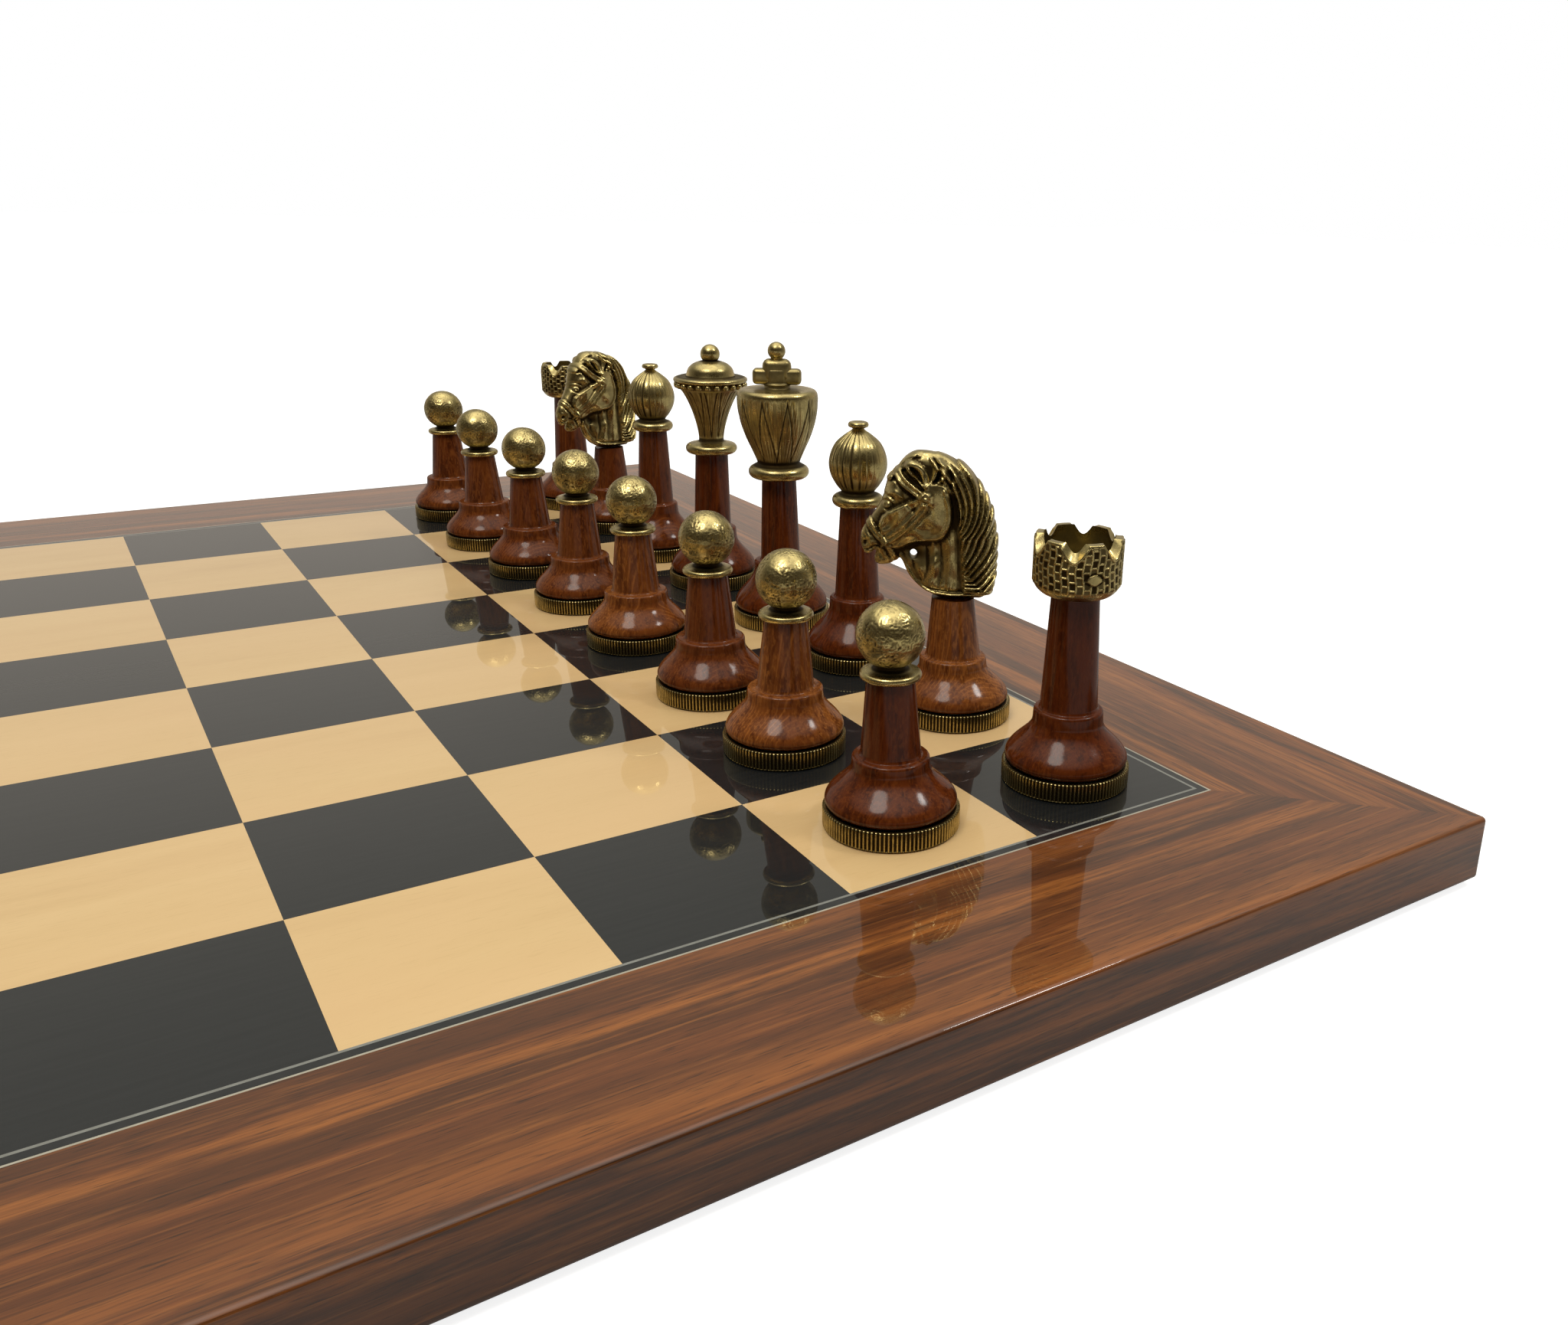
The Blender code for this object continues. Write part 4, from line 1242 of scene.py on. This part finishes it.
def build_board():
    light = maple("maple_squares", (0.70, 0.47, 0.235))
    dark = ebonised("ebonised_squares")
    put_piece("light_squares", tile_mesh("light_squares", 0), light, "board", "playing_field")
    put_piece("dark_squares", tile_mesh("dark_squares", 1), dark, "board", "playing_field")
    grey = stringing_wood("grey_line", (0.22, 0.225, 0.205), (0.16, 0.16, 0.14))
    white = stringing_wood("white_line", (0.42, 0.39, 0.31), (0.33, 0.30, 0.23))
    black = stringing_wood("black_line", (0.010, 0.011, 0.012), (0.018, 0.018, 0.019))
    edges = np.cumsum([FIELD_HALF, GREY_LINE, BLACK_LINE, WHITE_LINE]).tolist()
    bands = [("inner_grey_line", grey), ("black_band", black), ("outer_white_line", white)]
    for i, (name, material) in enumerate(bands):
        mesh = band_mesh(name, edges[i], edges[i + 1], BOARD_TOP + VENEER_STEP)
        put_piece(name, mesh, material, "board", "inlay_band")
    for quarter, side in enumerate(("front", "right", "back", "left")):
        mesh = rail_mesh(f"rail_{side}", edges[-1])
        mesh.transform(Matrix.Rotation(quarter * math.pi / 2, 4, "Z"))
        veneer = rosewood(f"rosewood_{side}", quarter)
        put_piece(f"rail_{side}", mesh, veneer, "board", f"border_{side}")
    paint(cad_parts["board_core"].data, fibreboard("fibreboard"))
    paint(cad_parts["base_backing"].data, felt("backing_felt", (0.03, 0.03, 0.032)))


# The men


# How far the men's stems lean, in degrees across the camera's view and to its right
LEANS = {
    "dark_knight_g": -1.7,
    "dark_king_e": -0.4,
    "dark_queen_d": 0.7,
    "dark_pawn_h": -1.0,
    "dark_pawn_g": 1.1,
    "dark_pawn_f": -0.5,
    "dark_pawn_d": 0.5,
    "dark_pawn_c": -0.4,
    "dark_pawn_b": -0.8,
    "dark_pawn_a": -0.9,
}
LEAN_TOWARDS = (0.822, -0.569)
SLIM_PAWNS = {"dark_pawn_h": 0.8}  # how much less their shoulder is
DEEP_MEN = ("dark_rook_h", "dark_pawn_h", "dark_bishop_f", "dark_king_e", "dark_queen_d")
WARM_MEN = ("dark_knight_g", "dark_pawn_g", "dark_pawn_e")
STAINS = dict.fromkeys(DEEP_MEN, "deep") | dict.fromkeys(WARM_MEN, "warm")  # the rest have their army's own
HEAD_TIPS = {"dark_rook_h": 2.0}  # how far the head tips towards the camera
FACINGS = {"dark_knight_g": 145.0, "dark_knight_b": 198.0, "dark_king_e": 238.0}
ARMY_FACINGS = {"dark": 180.0, "light": 0.0}
PAWN_TURN = 47.0  # from each file's pawn to the next, so that no two show the same side

# Each stain's wood: its name, and its middle, pale and dark colours
WOODS = {
    "deep": ("deep_red_wood", (0.094, 0.0180, 0.004), (0.125, 0.031, 0.006), (0.044, 0.009, 0.003)),
    "dark": ("reddish_wood", (0.122, 0.029, 0.007), (0.175, 0.053, 0.012), (0.058, 0.013, 0.004)),
    "warm": ("orange_wood", (0.165, 0.046, 0.010), (0.280, 0.098, 0.021), (0.075, 0.018, 0.005)),
    "light": ("natural_wood", (0.42, 0.225, 0.085), (0.52, 0.30, 0.12), (0.24, 0.11, 0.04)),
}
# Bright and olive metal, and the dark colour for patina and painted shade
BRASS = ((0.58, 0.465, 0.195), (0.33, 0.262, 0.115), (0.042, 0.027, 0.010))


def standing_place(man):
    """Where the middle of a man's foot is, from the CAD model."""
    if man.startswith("dark"):
        low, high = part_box(man + "_body")
        x = (low.x + high.x) / 2
    else:
        low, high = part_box(man)
        x = low.x + RING_RADIUS * MM
    return Vector((x, (low.y + high.y) / 2, BOARD_TOP + FOOT_CLEARANCE * MM))


def facing(man):
    """Which way a man faces, in degrees about +Z from +X; pawns face any way."""
    army, kind, letter = man.split("_")
    if kind == "pawn":
        return PAWN_TURN * FILE_LETTERS.index(letter) + 180.0
    return FACINGS.get(man, ARMY_FACINGS[army])


def placed(mesh, name, matrix):
    copy = mesh.copy()
    copy.name = name
    copy.transform(matrix)
    return copy


def man_meshes():
    """The parts of the men, each made once and copied to every man that has it."""
    meshes = {"ring": ring_shape().mesh("ring", SHARP_CAST), "pad": felt_shape().mesh("pad")}
    outlines = {kind: wood_outline(kind) for kind in STEMS}
    outlines.update({man: wood_outline("pawn", slimmer) for man, slimmer in SLIM_PAWNS.items()})
    for name, outline in outlines.items():
        meshes[name] = spun(outline, TURNED_COLUMNS).mesh(name, SHARP_WOOD)
    for kind, make in HEADS.items():
        meshes[kind + "_head"] = make().mesh(kind + "_head", SHARP_CAST)
    return meshes


def build_men():
    meshes = man_meshes()
    brass = cast_brass("antique_brass", *BRASS)
    pad_felt = felt("pad_felt", (0.03, 0.11, 0.05))
    woods = {stain: turned_wood(*look) for stain, look in WOODS.items()}
    for army in ("dark", "light"):
        for letter, officer in zip(FILE_LETTERS, BACK_RANK):
            for kind in (officer, "pawn"):
                man = f"{army}_{kind}_{letter}"
                build_man(man, meshes, woods[STAINS.get(man, army)], brass, pad_felt)


def build_man(man, meshes, wood, brass, pad_felt):
    army, kind, _ = man.split("_")
    stand = Matrix.Translation(standing_place(man))
    slope = math.tan(math.radians(LEANS.get(man, 0.0)))
    lean = Matrix.Shear("XY", 4, tuple(slope * part for part in LEAN_TOWARDS))
    seat = Matrix.Translation((0.0, 0.0, HEAD_FOOT[kind] * MM))
    tip = Matrix.Rotation(math.radians(HEAD_TIPS.get(man, 0.0)), 4, Vector((*LEAN_TOWARDS, 0.0)))
    turn = Matrix.Rotation(math.radians(facing(man)), 4, "Z")
    head_place = stand @ lean @ seat @ tip @ seat.inverted() @ turn
    body_node, head_node = (man + "_body", man + "_head") if army == "dark" else (man, man)
    for part, mesh, place, material, slot, node in (
        ("wood", meshes.get(man, meshes[kind]), stand @ lean, wood, f"{army}_wood", body_node),
        ("ring", meshes["ring"], stand, brass, "antique_brass", body_node),
        ("cast_head", meshes[kind + "_head"], head_place, brass, "antique_brass", head_node),
        ("felt", meshes["pad"], stand, pad_felt, "green_felt", body_node),
    ):
        name = f"{man}_{part}"
        put_piece(name, placed(mesh, name, place), material, man, node)


# Floor, lights and camera


BEYOND = (0.577, 0.817, 0.0)  # level, and away from the camera

# The room's light: by height above level, by how far round it is from behind the camera, and what is added
# overhead
ROOM_BY_HEIGHT = [(0.0, (0.63, 0.55, 0.475)), (0.25, (0.53, 0.485, 0.425)), (0.5, (0.400, 0.392, 0.345))]
ROOM_BY_SIDE = [(0.0, (0.06, 0.045, 0.03)), (0.3, (0.08, 0.065, 0.05)), (0.6, (0.52,) * 3), (0.8, (1.0,) * 3)]
ROOM_OVERHEAD = [(0.62, (0.0,) * 3), (0.86, (1.18, 1.15, 1.07)), (1.0, (1.90, 1.87, 1.76))]

FLOOR_HALF = 6.0
FLOOR_DROP = 0.0003  # below the board's underside
FLOOR_GREY = 0.45
FLOOR_GLOW = 0.85  # for the camera only
LIT_PLACE = (0.15, -0.02, 0.05)
LIGHT_REACH = 1.3
LIGHTS = [
    # name, direction from the lit place, size, power and colour
    ("key", (-0.42, -0.25, 0.87), 0.5, 5.0, (1.0, 0.95, 0.87)),
    ("window", (0.50, -0.42, 0.76), 0.22, 3.0, (1.0, 0.98, 0.94)),
]

CAMERA_PLACE = (-0.0264, -0.4089, 0.1562)
CAMERA_TURN = (70.80, 1.68, -35.24)  # pitch from straight down, roll and heading, in degrees
CAMERA_LENS = 30.22
CAMERA_SHIFT = (-0.0994, -0.0046)


def add_floor():
    mesh = new_mesh("floor", level_square(FLOOR_HALF, 0.0), [[0, 1, 2, 3]])
    nodes = Nodes("floor")
    nodes.set(Base_Color=(*[FLOOR_GREY] * 3, 1.0), Roughness=0.9)
    seen = nodes.add("ShaderNodeLightPath").outputs["Is Camera Ray"]
    nodes.set(Emission_Color=(1.0,) * 4, Emission_Strength=nodes.math("MULTIPLY", seen, FLOOR_GLOW))
    mesh.materials.append(nodes.material)
    floor = bpy.data.objects.new("floor", mesh)
    floor.location.z = -FLOOR_DROP
    bpy.context.scene.collection.objects.link(floor)


def add_light(name, direction, size, power, colour):
    data = bpy.data.lights.new(name, "AREA")
    data.shape = "DISK"
    data.size = size
    data.energy = power
    data.color = colour
    light = bpy.data.objects.new(name, data)
    target = Vector(LIT_PLACE)
    light.location = target + Vector(direction).normalized() * LIGHT_REACH
    light.rotation_euler = (target - light.location).to_track_quat("-Z", "Y").to_euler()
    bpy.context.scene.collection.objects.link(light)


def add_world():
    """A white backdrop for the camera, and for light a room that is bright beyond the board and above."""
    world = bpy.data.worlds.new("studio")
    world.use_nodes = True
    nodes = NodeTree(world.node_tree)
    nodes.tree.nodes.clear()
    place = nodes.add("ShaderNodeTexCoord").outputs["Generated"]
    height = nodes.add("ShaderNodeSeparateXYZ", {0: place}).outputs["Z"]
    inputs = {0: place, 1: BEYOND}
    beyond = nodes.add("ShaderNodeVectorMath", inputs, operation="DOT_PRODUCT").outputs["Value"]
    by_height = nodes.ramp(height, ROOM_BY_HEIGHT)
    by_side = nodes.ramp(nodes.level(beyond, -1.0, 1.0), ROOM_BY_SIDE)
    room = nodes.mix(1.0, by_height, by_side, "MULTIPLY")
    room = nodes.mix(1.0, room, nodes.ramp(height, ROOM_OVERHEAD), "ADD")
    light = nodes.add("ShaderNodeBackground", {"Color": room}).outputs[0]
    backdrop = nodes.add("ShaderNodeBackground", {"Color": (1.0,) * 4}).outputs[0]
    seen = nodes.add("ShaderNodeLightPath").outputs["Is Camera Ray"]
    mixed = nodes.add("ShaderNodeMixShader", {0: seen, 1: light, 2: backdrop}).outputs[0]
    nodes.add("ShaderNodeOutputWorld", {"Surface": mixed})
    bpy.context.scene.world = world


def add_camera():
    data = bpy.data.cameras.new("camera")
    data.sensor_width = 36.0
    data.lens = CAMERA_LENS
    data.shift_x, data.shift_y = CAMERA_SHIFT
    data.clip_start = 0.01
    camera = bpy.data.objects.new("camera", data)
    tilt, roll, heading = (math.radians(angle) for angle in CAMERA_TURN)
    turn = Matrix.Rotation(heading, 4, "Z") @ Matrix.Rotation(tilt, 4, "X") @ Matrix.Rotation(roll, 4, "Z")
    camera.matrix_world = Matrix.Translation(CAMERA_PLACE) @ turn
    bpy.context.scene.collection.objects.link(camera)
    bpy.context.scene.camera = camera


add_camera()
build_board()
build_men()
add_floor()
for light in LIGHTS:
    add_light(*light)
add_world()
bpy.context.scene.view_settings.view_transform = "Standard"
